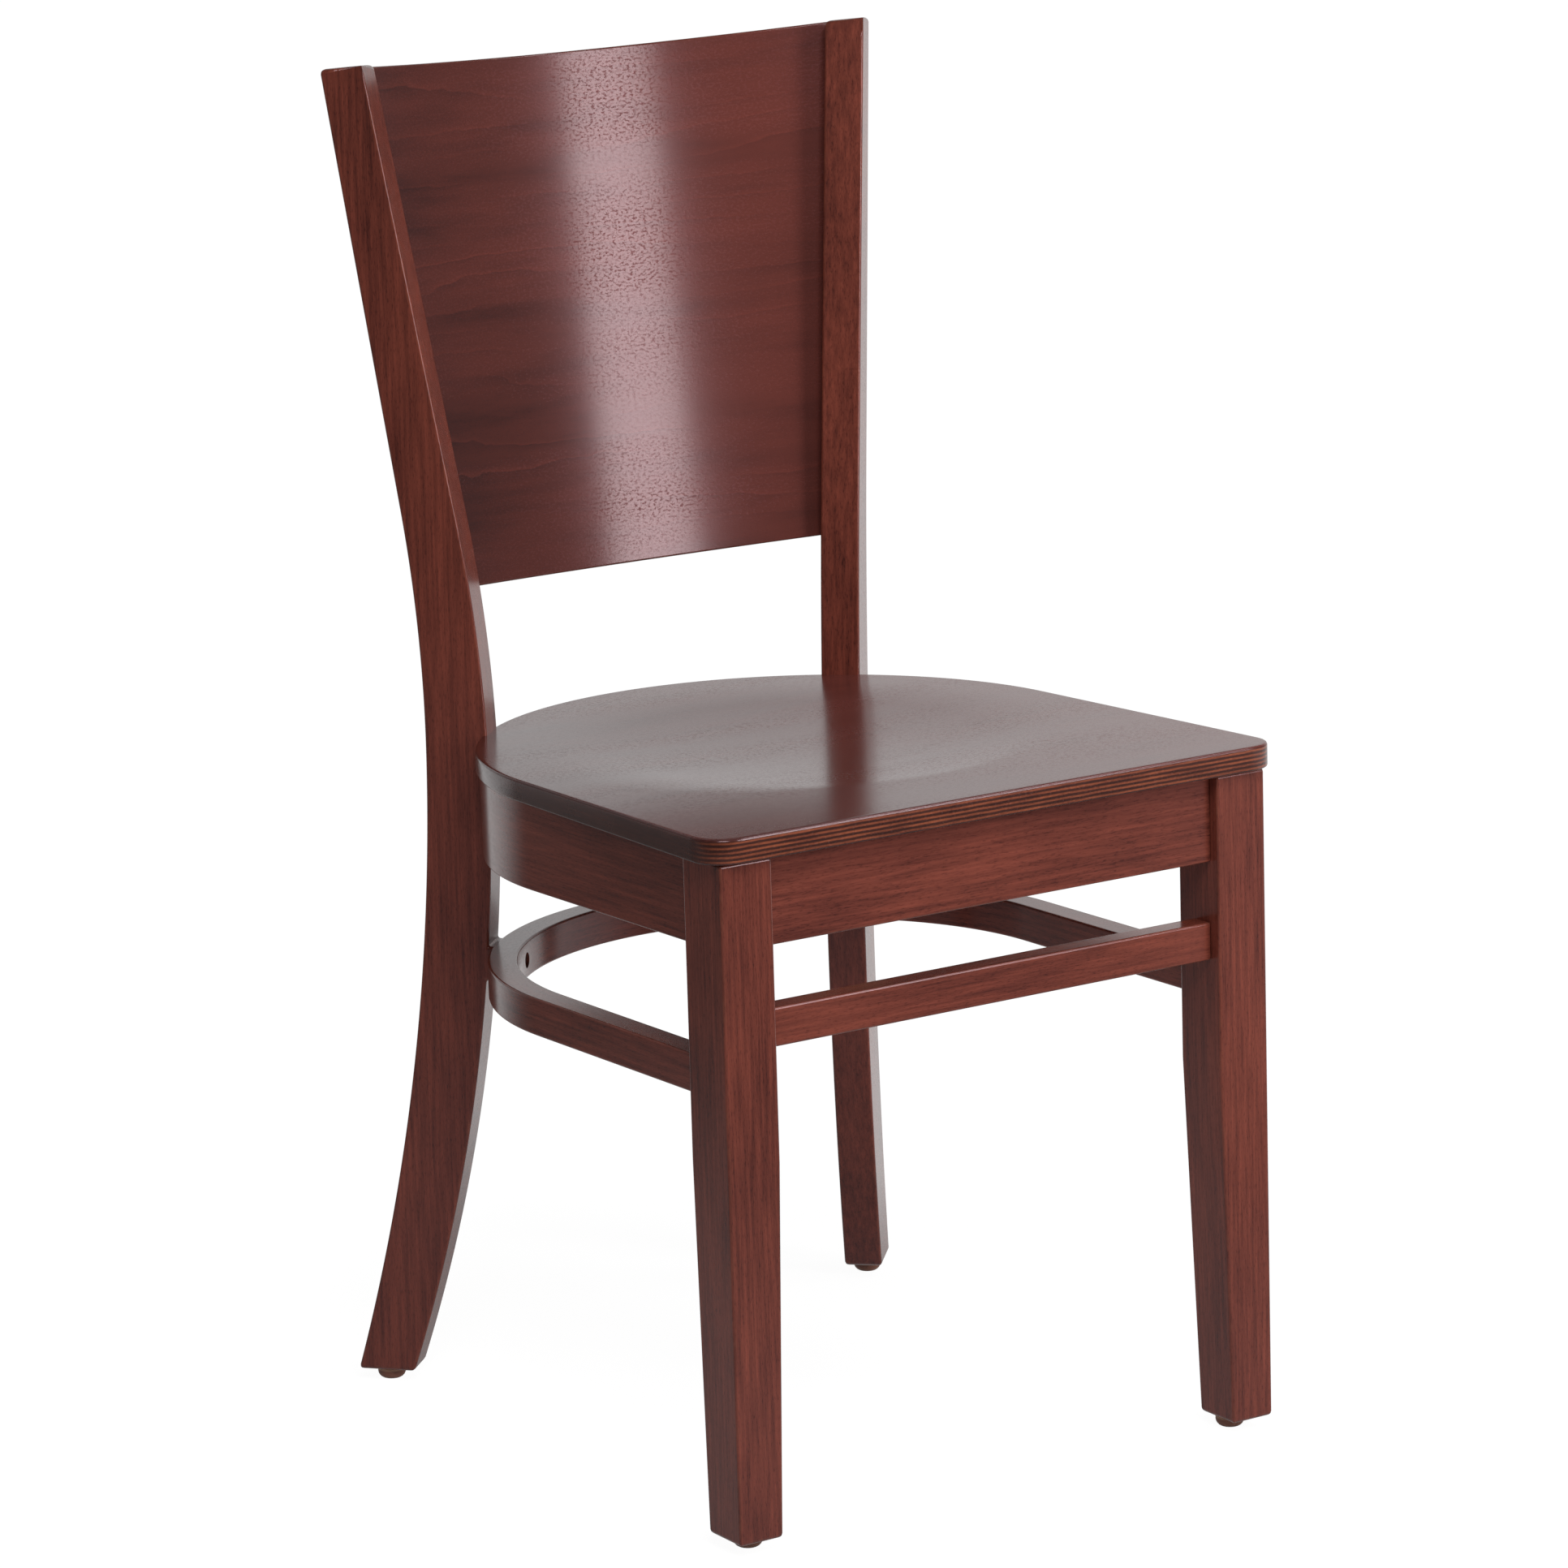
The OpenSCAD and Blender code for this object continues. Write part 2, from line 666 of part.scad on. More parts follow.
module insert(z) {
    difference() {
        translate([0, 0, face_at(z) + insert_sink]) cylinder(h = insert_l, d = insert_d, $fn = round_fn);
        translate([0, 0, face_at(z)])
            cylinder(h = insert_l + 2 * overrun, d = bolt_d + 2 * glue_gap, $fn = round_fn);
    }
}

module post_inserts() {
    color(brass) centred() {
        at_apron_bolts() insert(apron_bolt_mid);
        at_ring_bolts() insert(ring_bolt_z);
    }
}

module apron_bolts() {
    color(steel) centred() at_apron_bolts() bolt(block_face_u - washer_t, apron_bolt_l + washer_t);
}

module ring_bolts() {
    color(steel) centred() at_ring_bolts()
        bolt(face_at(ring_bolt_z) - bend_t + counterbore_d, ring_bolt_l);
}

module bolt_washers() {
    color(steel) centred() at_apron_bolts() translate([0, 0, block_face_u - washer_t]) difference() {
        cylinder(h = washer_t, d = washer_d, $fn = round_fn);
        translate([0, 0, -overrun])
            cylinder(h = washer_t + 2 * overrun, d = bolt_d + 2 * bolt_gap, $fn = round_fn);
    }
}

module rail_dowels() {
    color(plain_wood) centred() at_rail_joints() dowel(dowel_d, rail_dowel_in);
}

module stretcher_dowels() {
    color(plain_wood) centred() at_stretcher_joints() dowel(thin_dowel_d, rail_dowel_in);
}

module apron_dowels() {
    color(plain_wood) centred() at_arm_joints(apron_mid, dowel_rise) dowel(dowel_d, arm_dowel_in);
}

module ring_dowels() {
    color(plain_wood) centred() at_arm_joints(ring_mid, ring_dowel_rise) dowel(thin_dowel_d, arm_dowel_in);
}

// A corner block in the angle of the front rail and an arm, notched round the leg
module front_block(side) {
    color(plain_wood) centred() difference() {
        pitched() on_side(side) translate([0, 0, frame_top - block_h]) linear_extrude(block_h) polygon([
            [corner_reach_x, rail_back_y], [leg_in_x, rail_back_y], [leg_in_x, leg_d],
            [bend_in_r, leg_d], [bend_in_r, corner_reach_y]
        ]);
        at_lag(side) {
            translate([0, 0, -overrun])
                cylinder(h = lag_wood + 2 * overrun, d = lag_d + 2 * glue_gap, $fn = round_fn);
            translate([0, 0, -overrun])
                cylinder(h = lag_sink + overrun, d = lag_head_d + 2 * bolt_gap, $fn = round_fn);
        }
        at_front_seat_screws(side) seat_screw_hole();
    }
}

// A block that backs the apron where a post is bolted on
module rear_block(side) {
    color(plain_wood) centred() difference() {
        intersection() {
            bend_core(bend_in_r - glue_gap, frame_top - block_h, frame_top);
            at_post(side) translate([-rear_block_w / 2, block_face_u, 0])
                cube([rear_block_w, rear_block_t + overrun, seat_h]);
        }
        at_apron_bolts() bolt_hole(apron_bolt_mid);
        at_rear_seat_screws(side) seat_screw_hole();
    }
}

module leg_screws() {
    color(steel) centred() for (side = [-1, 1]) at_lag(side) {
        translate([0, 0, lag_sink - lag_head_h]) cylinder(h = lag_head_h, d = lag_head_d, $fn = round_fn);
        translate([0, 0, lag_sink]) cylinder(h = lag_l, d = lag_d, $fn = round_fn);
    }
}

module seat_screws() {
    color(steel) centred() at_seat_screws() {
        translate([0, 0, -seat_screw_grip - screw_head_h])
            cylinder(h = screw_head_h, d = screw_head_d, $fn = round_fn);
        translate([0, 0, -seat_screw_grip]) cylinder(h = seat_screw_l, d = seat_screw_d, $fn = round_fn);
    }
}

// The middle of a glide on the floor, for one foot
module at_front_glide(side) {
    translate([side * glide_x, glide_y, 0]) children();
}

module at_back_glide(side) {
    at_post(side) translate([0, glide_u, 0]) children();
}

module at_glides() {
    for (side = [-1, 1]) {
        at_front_glide(side) children();
        at_back_glide(side) children();
    }
}

// A nail with its head moulded into the glide, grown for its bore
module nail(grow) {
    translate([0, 0, nail_base - grow])
        cylinder(h = nail_head_h + 2 * grow, d = nail_head_d + 2 * grow, $fn = round_fn);
    translate([0, 0, nail_base])
        cylinder(h = glide_h - nail_base + nail_in + grow, d = nail_d + 2 * grow, $fn = round_fn);
}

module glide() {
    color(plastic) difference() {
        rotate_extrude($fn = round_fn) {
            square([glide_d / 2 - glide_ease, glide_h]);
            translate([0, glide_ease]) square([glide_d / 2, glide_h - glide_ease]);
            translate([glide_d / 2 - glide_ease, glide_ease]) circle(r = glide_ease, $fn = round_fn);
        }
        nail(glue_gap);
    }
}

module glide_nails() {
    color(steel) centred() at_glides() nail(0);
}

seat();
apron();
front_rail();
front_leg(-1);  // front_leg_left
front_leg(1);  // front_leg_right
back_post(-1);  // back_post_left
back_post(1);  // back_post_right
back_panel();
stretcher_ring();
front_stretcher();
rail_dowels();
stretcher_dowels();
apron_dowels();
ring_dowels();
front_block(-1);  // front_block_left
front_block(1);  // front_block_right
rear_block(-1);  // rear_block_left
rear_block(1);  // rear_block_right
apron_bolts();
ring_bolts();
bolt_washers();
post_inserts();
leg_screws();
seat_screws();
centred() at_front_glide(-1) glide();  // glide_front_left
centred() at_front_glide(1) glide();  // glide_front_right
centred() at_back_glide(-1) glide();  // glide_back_left
centred() at_back_glide(1) glide();  // glide_back_right
glide_nails();
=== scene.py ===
"""Looks of a dining chair with one solid bent back panel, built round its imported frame.

The chair's front faces -Y, Z is up, and left and right are as seen from the front, so left
is -X. Sizes are written in millimetres and scaled to metres where a piece is set in its place.
The materials work in metres.
"""
import math

import bmesh
import bpy
from mathutils import Matrix, Vector


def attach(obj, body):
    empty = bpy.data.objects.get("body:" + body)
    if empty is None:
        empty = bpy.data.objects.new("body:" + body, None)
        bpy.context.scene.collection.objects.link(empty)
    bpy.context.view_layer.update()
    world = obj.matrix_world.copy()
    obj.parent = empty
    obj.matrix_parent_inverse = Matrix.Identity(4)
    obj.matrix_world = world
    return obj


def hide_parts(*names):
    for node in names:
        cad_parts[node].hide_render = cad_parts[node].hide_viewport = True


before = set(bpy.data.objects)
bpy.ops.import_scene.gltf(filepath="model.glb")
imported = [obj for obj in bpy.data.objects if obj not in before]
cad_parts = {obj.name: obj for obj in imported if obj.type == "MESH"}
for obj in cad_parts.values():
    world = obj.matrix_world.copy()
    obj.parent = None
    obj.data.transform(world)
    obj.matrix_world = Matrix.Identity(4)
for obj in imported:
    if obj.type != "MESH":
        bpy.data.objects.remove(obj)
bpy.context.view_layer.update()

scene = bpy.context.scene
MM = 0.001
SIDES = ((-1, "left"), (1, "right"))
X_AXIS, Y_AXIS, Z_AXIS = Vector((1, 0, 0)), Vector((0, 1, 0)), Vector((0, 0, 1))

# Sizes of the wooden parts, as in the solids
seat_h, seat_w, seat_side, seat_t, seat_nose = 460, 438, 8.5, 16, 6
seat_corner_r, seat_round, seat_lap = 20, 5, 0.5
seat_pitch, seat_rake = math.radians(1), math.radians(0.4)
dish_depth, dish_rim_r, dish_y = 7, 155, 222
rim_soft_front, rim_soft_back = 3, 26
arm_inset, bend_y, apron_h, bend_t = 6.5, 230, 58, 19.7
rail_t, rail_recess = 20, 7
stretcher_drop, stretcher_h, stretcher_t, stretcher_recess = 114, 25, 17, 8
ring_drop, ring_h = 145, 25
leg_w, leg_d, leg_taper, leg_taper_gap = 38.5, 41.5, 6.5, 40
back_rise, post_angle, post_w, post_d, post_set = 432, math.radians(42.8), 26.5, 43, 5.5
post_let_in, waist_drop, waist_gap, post_top_fall = 2.2, 52, 33, math.radians(7.5)
inner_foot_r, inner_back_r, inner_straight_rise = 1265, 1030, 184
outer_foot_r, outer_back_r, outer_straight_rise = 1570, 1045, 159
panel_r, panel_t, panel_h, panel_rise = 400, 8, 346, 79
panel_lean, panel_recess, groove_d = math.radians(11.4), 12, 8
bolt_d, bolt_head_d, counterbore_d, bolt_gap = 6, 10, 8, 0.3
glide_d, glide_h = 19.2, 8
land_share, land_margin = 0.25, 1

# The plies show from a depth below the seat's top, at first faintly, to a height over its foot
plies_begin, plies_fade, plies_end = 0.9, 0.8, 0.2

# How far edges are rounded that turn by more than sharp_turn. The level edges at the ends of
# legs and posts, within end_reach of them, are rounded more. Spun rims over rim_turn stay sharp.
leg_ease, leg_end_ease, post_ease, post_end_ease = 1.7, 3, 1.8, 3.4
rail_ease, stretcher_ease, apron_ease, ring_ease, panel_ease = 1.4, 1.6, 1.2, 1.6, 1.3
seat_ease, seat_low_ease = 1.9, 1.4
end_reach = 20
sharp_turn, rim_turn = math.radians(30), math.radians(40)

# Where each board's grain starts, so that no two boards look alike
leg_start, post_start, rail_start, stretcher_start = 1.3, 3.7, 6.1, 7.9
apron_start, ring_start = 9.2, 11.4

# Fineness of the meshes
bend_steps, panel_steps, seat_steps, glide_steps = 128, 96, 480, 64
post_rows, seat_rows, seat_low_rows, seat_ease_steps, seat_low_ease_steps = 146, 66, 4, 5, 4
core_sides, hole_sides, hull_steps = 256, 64, 3600
post_top_row, same_point = 14, 1e-5

# Sizes that follow from them
front_span = seat_w - 2 * seat_side
leg_out_x = front_span / 2
leg_in_x = leg_out_x - leg_w
bend_r = leg_out_x - arm_inset
bend_in_r = bend_r - bend_t
frame_top = -seat_t
taper_top = -ring_drop - ring_h - leg_taper_gap
ring_mid = -ring_drop - ring_h / 2
post_y = bend_y - post_set
land_t = post_d * land_share
back_h = seat_h + back_rise
inner_waist_h = seat_h - waist_drop
inner_straight_h = inner_waist_h + inner_straight_rise
outer_waist_h = inner_waist_h + waist_gap
outer_straight_h = outer_waist_h + outer_straight_rise
panel_z = seat_h + panel_rise


def bend_face_u(z):
    """Distance of the bent frames' outer face along a post's own line, at a height."""
    frame_z = (z - seat_h + bend_y * math.sin(seat_pitch)) / math.cos(seat_pitch)
    shift = bend_y * math.cos(seat_pitch) + frame_z * math.sin(seat_pitch) - post_y
    across = shift * math.sin(post_angle)
    return shift * math.cos(post_angle) + math.sqrt(bend_r ** 2 - across ** 2)


def bowed(z, start_u, waist_h, foot_r, back_r, straight_h):
    """One face of a post: two arcs that meet at its waist, then a straight run."""
    if z < waist_h:
        return start_u + foot_r - math.sqrt(foot_r ** 2 - (waist_h - z) ** 2)
    rise = min(z, straight_h) - waist_h
    run = math.sqrt(back_r ** 2 - rise ** 2)
    return start_u + back_r - run + max(z - straight_h, 0) * rise / run


inner_u = bend_face_u(inner_waist_h) - post_let_in


def level_z(level):
    """Height above the floor, at the posts, of a level in the pitched seat frame."""
    contact_y = bend_y + bend_r * math.cos(post_angle)
    return seat_h - contact_y * math.sin(seat_pitch) + level * math.cos(seat_pitch)


def inner_at(z):
    return bowed(z, inner_u, inner_waist_h, inner_foot_r, inner_back_r, inner_straight_h)


def outer_at(z):
    return bowed(z, inner_u + post_d, outer_waist_h, outer_foot_r, outer_back_r, outer_straight_h)


# The front end of the posts' sawn tops, which fall to the back
top_front_y = post_y + inner_at(back_h) * math.cos(post_angle) - post_w / 2 * math.sin(post_angle)

# The panel's middle, and the chair's middle from front to back
edge_u = inner_at(panel_z) + panel_recess
edge_x = edge_u * math.sin(post_angle) - post_w / 2 * math.cos(post_angle)
edge_y = post_y + edge_u * math.cos(post_angle) + post_w / 2 * math.sin(post_angle)
panel_y = edge_y + (panel_r - math.sqrt(panel_r ** 2 - edge_x ** 2)) * math.cos(panel_lean)
foot_front_y = -(seat_h - glide_h) * math.tan(seat_pitch)
panel_rear_y = panel_y + panel_h * math.sin(panel_lean) + panel_t * math.cos(panel_lean)
middle_y = (foot_front_y + panel_rear_y) / 2

# Places: millimetres in a part's own frame to metres in the chair's
CHAIR = Matrix.Scale(MM, 4) @ Matrix.Translation((0, -middle_y, 0))
PITCHED = CHAIR @ Matrix.Translation((0, 0, seat_h)) @ Matrix.Rotation(-seat_pitch, 4, "X")
PANEL = (
    CHAIR
    @ Matrix.Translation((0, panel_y, panel_z))
    @ Matrix.Rotation(-panel_lean, 4, "X")
    @ Matrix.Translation((0, -panel_r, 0))
)


def at_post(side):
    """The frame of a post: X along its width, Y outwards, Z up. The left one is mirrored."""
    mirror = Matrix.Scale(side, 4, X_AXIS)
    turn = Matrix.Rotation(-post_angle, 4, "Z")
    return CHAIR @ mirror @ Matrix.Translation((0, post_y, 0)) @ turn


class Shade:
    """A shader socket that Python's signs do maths on."""

    def __init__(self, tree, socket):
        self.tree, self.socket = tree, socket

    def maths(self, operation, *values):
        node = self.tree.nodes.new("ShaderNodeMath")
        node.operation = operation
        for slot, value in zip(node.inputs, values):
            if isinstance(value, Shade):
                self.tree.links.new(value.socket, slot)
            else:
                slot.default_value = value
        return Shade(self.tree, node.outputs[0])

    def __add__(self, other):
        return self.maths("ADD", self, other)

    def __sub__(self, other):
        return self.maths("SUBTRACT", self, other)

    def __rsub__(self, other):
        return self.maths("SUBTRACT", other, self)

    def __mul__(self, other):
        return self.maths("MULTIPLY", self, other)

    def __pow__(self, other):
        return self.maths("POWER", self, other)

    __radd__ = __add__
    __rmul__ = __mul__


class Finish:
    """A material, or the world's own shading, while its nodes are put together."""

    def __init__(self, owner):
        owner.use_nodes = True
        self.tree = owner.node_tree
        self.tree.nodes.clear()

    def put(self, kind, sockets=(), out=0, **settings):
        """Adds a node of a kind, first its settings and then its sockets."""
        node = self.tree.nodes.new("ShaderNode" + kind)
        for name, value in settings.items():
            setattr(node, name, value)
        for name, value in dict(sockets).items():
            if isinstance(value, Shade):
                self.tree.links.new(value.socket, node.inputs[name])
            else:
                node.inputs[name].default_value = value
        return Shade(self.tree, node.outputs[out]) if node.outputs else None

    def noise(self, place, scale, detail, rough):
        """Noise from 0 to 1 whose cells are 1 / scale metres long on each axis."""
        stretched = self.put("VectorMath", {0: place, 1: scale}, operation="MULTIPLY")
        return self.put("TexNoise", {
            "Vector": stretched, "Scale": 1, "Detail": detail, "Roughness": rough})

    def along(self, place, direction):
        """How far a place, or a line of sight, goes in a direction."""
        return self.put("VectorMath", {0: place, 1: direction}, out=1, operation="DOT_PRODUCT")

    def span(self, value, low, high):
        """0 where the value is at low or under, 1 where it is at high or over."""
        return self.put("MapRange", {"Value": value, "From Min": low, "From Max": high})

    def blend(self, share, first, second):
        """Mixes two colours: Mix has its colour sockets at 6 and 7, and its colour result at 2."""
        return self.put("Mix", {0: share, 6: first, 7: second}, out=2, data_type="RGBA")


def tone(red, green, blue):
    return (red, green, blue, 1)


def board_figure(made, grain):
    """Solid beech: soft clouds, thin darker streaks and short flecks along the grain."""
    cloud = made.noise(grain, (6, 22, 22), 3, 0.6)
    streak = made.noise(grain, (16, 400, 400), 3, 0.65)
    fleck = made.span(made.noise(grain, (240, 1500, 1500), 2, 0.5), 0.54, 0.7)
    depth = 0.52 + (cloud - 0.5) * 0.95 + (streak - 0.5) * 1.5 - fleck * 0.22
    return depth, fleck, cloud


def veneer_figure(made, grain):
    """Rotary-cut beech: thin light contours that drift along the sheet, dark just below. The sheet
    is also darker towards its left end, a painted shade.
    """
    cloud = made.noise(grain, (3, 16, 16), 3, 0.55)
    along = made.put("SeparateXYZ", {0: grain}, out=0)
    across = made.put("SeparateXYZ", {0: grain}, out=1)
    drift = made.noise(grain, (2.6, 8, 8), 2, 0.5) * 5.5
    ripple = made.noise(grain, (36, 85, 85), 2, 0.6) * 0.4
    turns = drift + ripple - across * 58
    rise = turns.maths("FRACT", turns)
    shown = made.span(made.noise(grain, (5, 30, 30), 2, 0.5), 0.44, 0.64)
    contour = (rise ** 16 * (1 - made.span(rise, 0.95, 1)) - (1 - rise) ** 6 * 0.4) * shown
    smear = made.span(made.noise(grain, (9, 62, 62), 3, 0.6), 0.47, 0.8)
    speck = made.noise(grain, (450, 900, 900), 2, 0.6)
    # Painted shade: along * 1.8 darkens each sheet towards its left end (-X) and lightens it
    # towards the right, on the panel and the seat alike
    depth = 0.53 + along * 1.8 + (cloud - 0.5) * 0.85
    depth = depth + contour * 0.42 - smear * 0.26 + (speck - 0.5) * 0.55
    return depth, made.span(speck, 0.52, 0.68), cloud


def lacquered(name, dark, light, figure, pits=0.3, plies=False):
    """Stained wood under a thin lacquer. Its pattern follows the piece's own grain, X along it."""
    material = bpy.data.materials.new(name)
    made = Finish(material)
    grain = made.put("Attribute", out=1, attribute_name="grain")
    wear = made.put("Attribute", out=2, attribute_name="worn")
    depth, fleck, cloud = figure(made, grain)
    colour = made.blend(depth, dark, light)
    colour = made.blend(fleck * 0.22, colour, tone(0.02, 0.006, 0.005))
    nicks = made.span(made.noise(grain, (90, 160, 160), 3, 0.6), 0.5, 0.66)
    colour = made.blend(wear * (0.06 + nicks * 0.22), colour, tone(0.24, 0.08, 0.045))
    if plies:
        colour = ply_edge(made, colour, grain)
    sunk = made.span(made.noise(grain, (2, 16, 16), 2, 0.5), 0.4, 0.56)
    pit = made.span(made.noise(grain, (400, 620, 620), 2, 0.6), 0.48, 0.64)
    pit = pit * (0.3 + sunk * 0.7) * pits
    fibre = made.noise(grain, (60, 1500, 1500), 2, 0.7)
    normal = made.put("Bump", {
        "Height": fibre * 0.3 - fleck * 0.25 - pit * 0.6, "Strength": 0.3, "Distance": 0.00012})
    sheen = 0.22 + (cloud - 0.5) * 0.06 + (fibre - 0.5) * 0.05 + pit * 0.12
    surface = made.put("BsdfPrincipled", {
        "Base Color": colour, "Roughness": sheen, "Normal": normal,
        "Coat Weight": 0.56 - pit * 0.54, "Coat Roughness": 0.17, "IOR": 1.4,
        "Specular Tint": tone(1, 0.54, 0.63),
    })
    made.put("OutputMaterial", {"Surface": surface})
    return material


# Thickness in metres of two plies of the seat, one light and one dark at the edge
TWO_PLIES = 0.0029


def ply_edge(made, colour, grain):
    """The seat's edge: thin plies by turns along and across the board, seen only on its side. The
    plies show fully only where the edge faces front; on the side and back edges they fade to the
    dark ply tone, a painted shade.
    """
    rim = made.put("Attribute", out=2, attribute_name="edge")
    facing = made.put("Attribute", out=2, attribute_name="facing")
    height = made.put("SeparateXYZ", {0: grain}, out=2)
    uneven = made.noise(grain, (60, 60, 200), 2, 0.5)
    plies = height * (2 * math.pi / TWO_PLIES) + uneven * 1.6
    # Painted shade: the light plies show fully where the edge faces front and fade almost away
    # where it faces the sides or the back
    ply_layer_side_shaded = made.span(plies.maths("SINE", plies), -0.3, 0.6) * (0.06 + facing * 0.94)
    torn = made.noise(grain, (350, 350, 2500), 3, 0.7) * 0.5
    torn = made.span(torn + made.noise(grain, (30, 30, 330), 2, 0.6) * 0.5, 0.36, 0.66)
    bright = made.blend(torn, tone(0.12, 0.032, 0.019), tone(0.35, 0.095, 0.042))
    dull = made.blend(torn, tone(0.035, 0.013, 0.01), tone(0.07, 0.024, 0.017))
    return made.blend(rim, colour, made.blend(ply_layer_side_shaded, dull, bright))


def plain_beech():
    """The unfinished beech of blocks and dowels, on Object coordinates."""
    material = bpy.data.materials.new("plain_beech")
    made = Finish(material)
    place = made.put("TexCoord", out=3)
    streak = made.noise(place, (14, 300, 300), 3, 0.6)
    fleck = made.span(made.noise(place, (160, 1100, 1100), 2, 0.5), 0.56, 0.7)
    colour = made.blend(streak, tone(0.42, 0.26, 0.14), tone(0.66, 0.47, 0.29))
    colour = made.blend(fleck * 0.4, colour, tone(0.28, 0.14, 0.07))
    normal = made.put("Bump", {"Height": streak, "Strength": 0.3, "Distance": 0.0001})
    surface = made.put("BsdfPrincipled", {
        "Base Color": colour, "Roughness": 0.62 + (streak - 0.5) * 0.2, "Normal": normal,
    })
    made.put("OutputMaterial", {"Surface": surface})
    return material


def metal(name, dark, light, rough):
    """Plated fasteners with a few duller patches, on Object coordinates."""
    material = bpy.data.materials.new(name)
    made = Finish(material)
    place = made.put("TexCoord", out=3)
    cloud = made.noise(place, (300, 300, 300), 3, 0.6)
    scratch = made.noise(place, (1500, 1500, 200), 2, 0.6)
    colour = made.blend(cloud, dark, light)
    normal = made.put("Bump", {"Height": scratch, "Strength": 0.2, "Distance": 0.00003})
    surface = made.put("BsdfPrincipled", {
        "Base Color": colour, "Metallic": 1, "Roughness": rough + (cloud - 0.5) * 0.25,
        "Normal": normal,
    })
    made.put("OutputMaterial", {"Surface": surface})
    return material


def moulded_plastic():
    """The brown floor glides, scuffed towards the floor, on Object coordinates."""
    material = bpy.data.materials.new("brown_glide")
    made = Finish(material)
    place = made.put("TexCoord", out=3)
    height = made.put("SeparateXYZ", {0: place}, out=2)
    speckle = made.noise(place, (1400, 1400, 1400), 2, 0.6)
    marks = made.span(made.noise(place, (500, 500, 900), 3, 0.7), 0.4, 0.7)
    scuff = (1 - made.span(height, 0, 0.003)) * marks
    colour = made.blend(speckle, tone(0.19, 0.065, 0.038), tone(0.29, 0.12, 0.075))
    colour = made.blend(made.span(height, 0.0055, 0.0062) * 0.75, colour, tone(0.46, 0.26, 0.16))
    colour = made.blend(scuff * 0.5, colour, tone(0.3, 0.22, 0.17))
    normal = made.put("Bump", {"Height": speckle, "Strength": 0.25, "Distance": 0.00005})
    surface = made.put("BsdfPrincipled", {
        "Base Color": colour, "Roughness": 0.42 + scuff * 0.3, "Normal": normal,
    })
    made.put("OutputMaterial", {"Surface": surface})
    return material


WOOD = lacquered(
    "stained_beech", tone(0.068, 0.017, 0.013), tone(0.27, 0.064, 0.04), board_figure)
SEAT_PLY = lacquered(
    "seat_veneer", tone(0.06, 0.0175, 0.015), tone(0.165, 0.043, 0.034), veneer_figure,
    pits=0.5, plies=True)
PANEL_PLY = lacquered(
    "panel_veneer", tone(0.048, 0.019, 0.0175), tone(0.184, 0.0455, 0.034), veneer_figure, pits=1)
BEECH = plain_beech()
STEEL = metal("zinc_plate", tone(0.42, 0.42, 0.43), tone(0.68, 0.69, 0.7), 0.32)
BRASS = metal("brass", tone(0.5, 0.36, 0.16), tone(0.72, 0.56, 0.28), 0.35)
PLASTIC = moulded_plastic()


def eased(shape, place, width, end_width=0, cuts=()):
    """Sets a shape in its place, rounds its edges, cuts it, and returns the finished mesh.

    An upright piece may have the level edges at its two ends rounded wider.
    """
    bmesh.ops.transform(shape, matrix=place, verts=shape.verts)
    bmesh.ops.recalc_face_normals(shape, faces=shape.faces)
    shape.normal_update()
    widest = max(width, end_width)
    heights = [corner.co.z for corner in shape.verts]
    lowest, highest = min(heights) + end_reach * MM, max(heights) - end_reach * MM
    share = shape.edges.layers.float.new("bevel_weight_edge")
    for edge in shape.edges:
        if edge.calc_face_angle(0) > sharp_turn:
            run = edge.verts[1].co - edge.verts[0].co
            level = abs(run.z) < run.length / 2
            at_end = not lowest < edge.verts[0].co.z < highest
            edge[share] = (end_width if end_width and level and at_end else width) / widest
    mesh = bpy.data.meshes.new("rough")
    shape.to_mesh(mesh)
    shape.free()
    # The second slot only marks the rounded edges
    mesh.materials.append(WOOD)
    mesh.materials.append(WOOD)
    mesh.polygons.foreach_set("use_smooth", [True] * len(mesh.polygons))
    rough = bpy.data.objects.new("rough", mesh)
    scene.collection.objects.link(rough)
    round_edges = rough.modifiers.new("round_edges", "BEVEL")
    round_edges.width = widest * MM
    round_edges.segments = 3
    round_edges.limit_method = "WEIGHT"
    round_edges.harden_normals = True
    round_edges.material = 1
    for tool in cuts:
        cut = rough.modifiers.new("cut", "BOOLEAN")
        cut.operation = "DIFFERENCE"
        cut.solver = "EXACT"
        cut.object = tool
    graph = bpy.context.evaluated_depsgraph_get()
    finished = bpy.data.meshes.new_from_object(
        rough.evaluated_get(graph), preserve_all_data_layers=True, depsgraph=graph)
    bpy.data.objects.remove(rough)
    return finished


def turned(shape, place):
    """Sets a spun shape in its place and returns its mesh, smooth but for its sharp rims."""
    bmesh.ops.transform(shape, matrix=place, verts=shape.verts)
    bmesh.ops.recalc_face_normals(shape, faces=shape.faces)
    mesh = bpy.data.meshes.new("turned")
    shape.to_mesh(mesh)
    shape.free()
    mesh.polygons.foreach_set("use_smooth", [True] * len(mesh.polygons))
    mesh.set_sharp_from_angle(angle=rim_turn)
    return mesh


def piece(name, mesh, material, slot, grain, *nodes):
    """A finished piece, with its grain's course and its rounded edges kept for the material."""
    worn = mesh.attributes.new("worn", "FLOAT", "FACE")
    worn.data.foreach_set("value", [float(face.material_index == 1) for face in mesh.polygons])
    mesh.polygons.foreach_set("material_index", [0] * len(mesh.polygons))
    mesh.materials.clear()
    mesh.materials.append(material)
    course = mesh.attributes.new("grain", "FLOAT_VECTOR", "POINT")
    values = [number for vertex in mesh.vertices for number in grain(vertex.co)]
    course.data.foreach_set("vector", values)
    thing = bpy.data.objects.new(name, mesh)
    scene.collection.objects.link(thing)
    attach(thing, "root")
    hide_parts(*nodes)


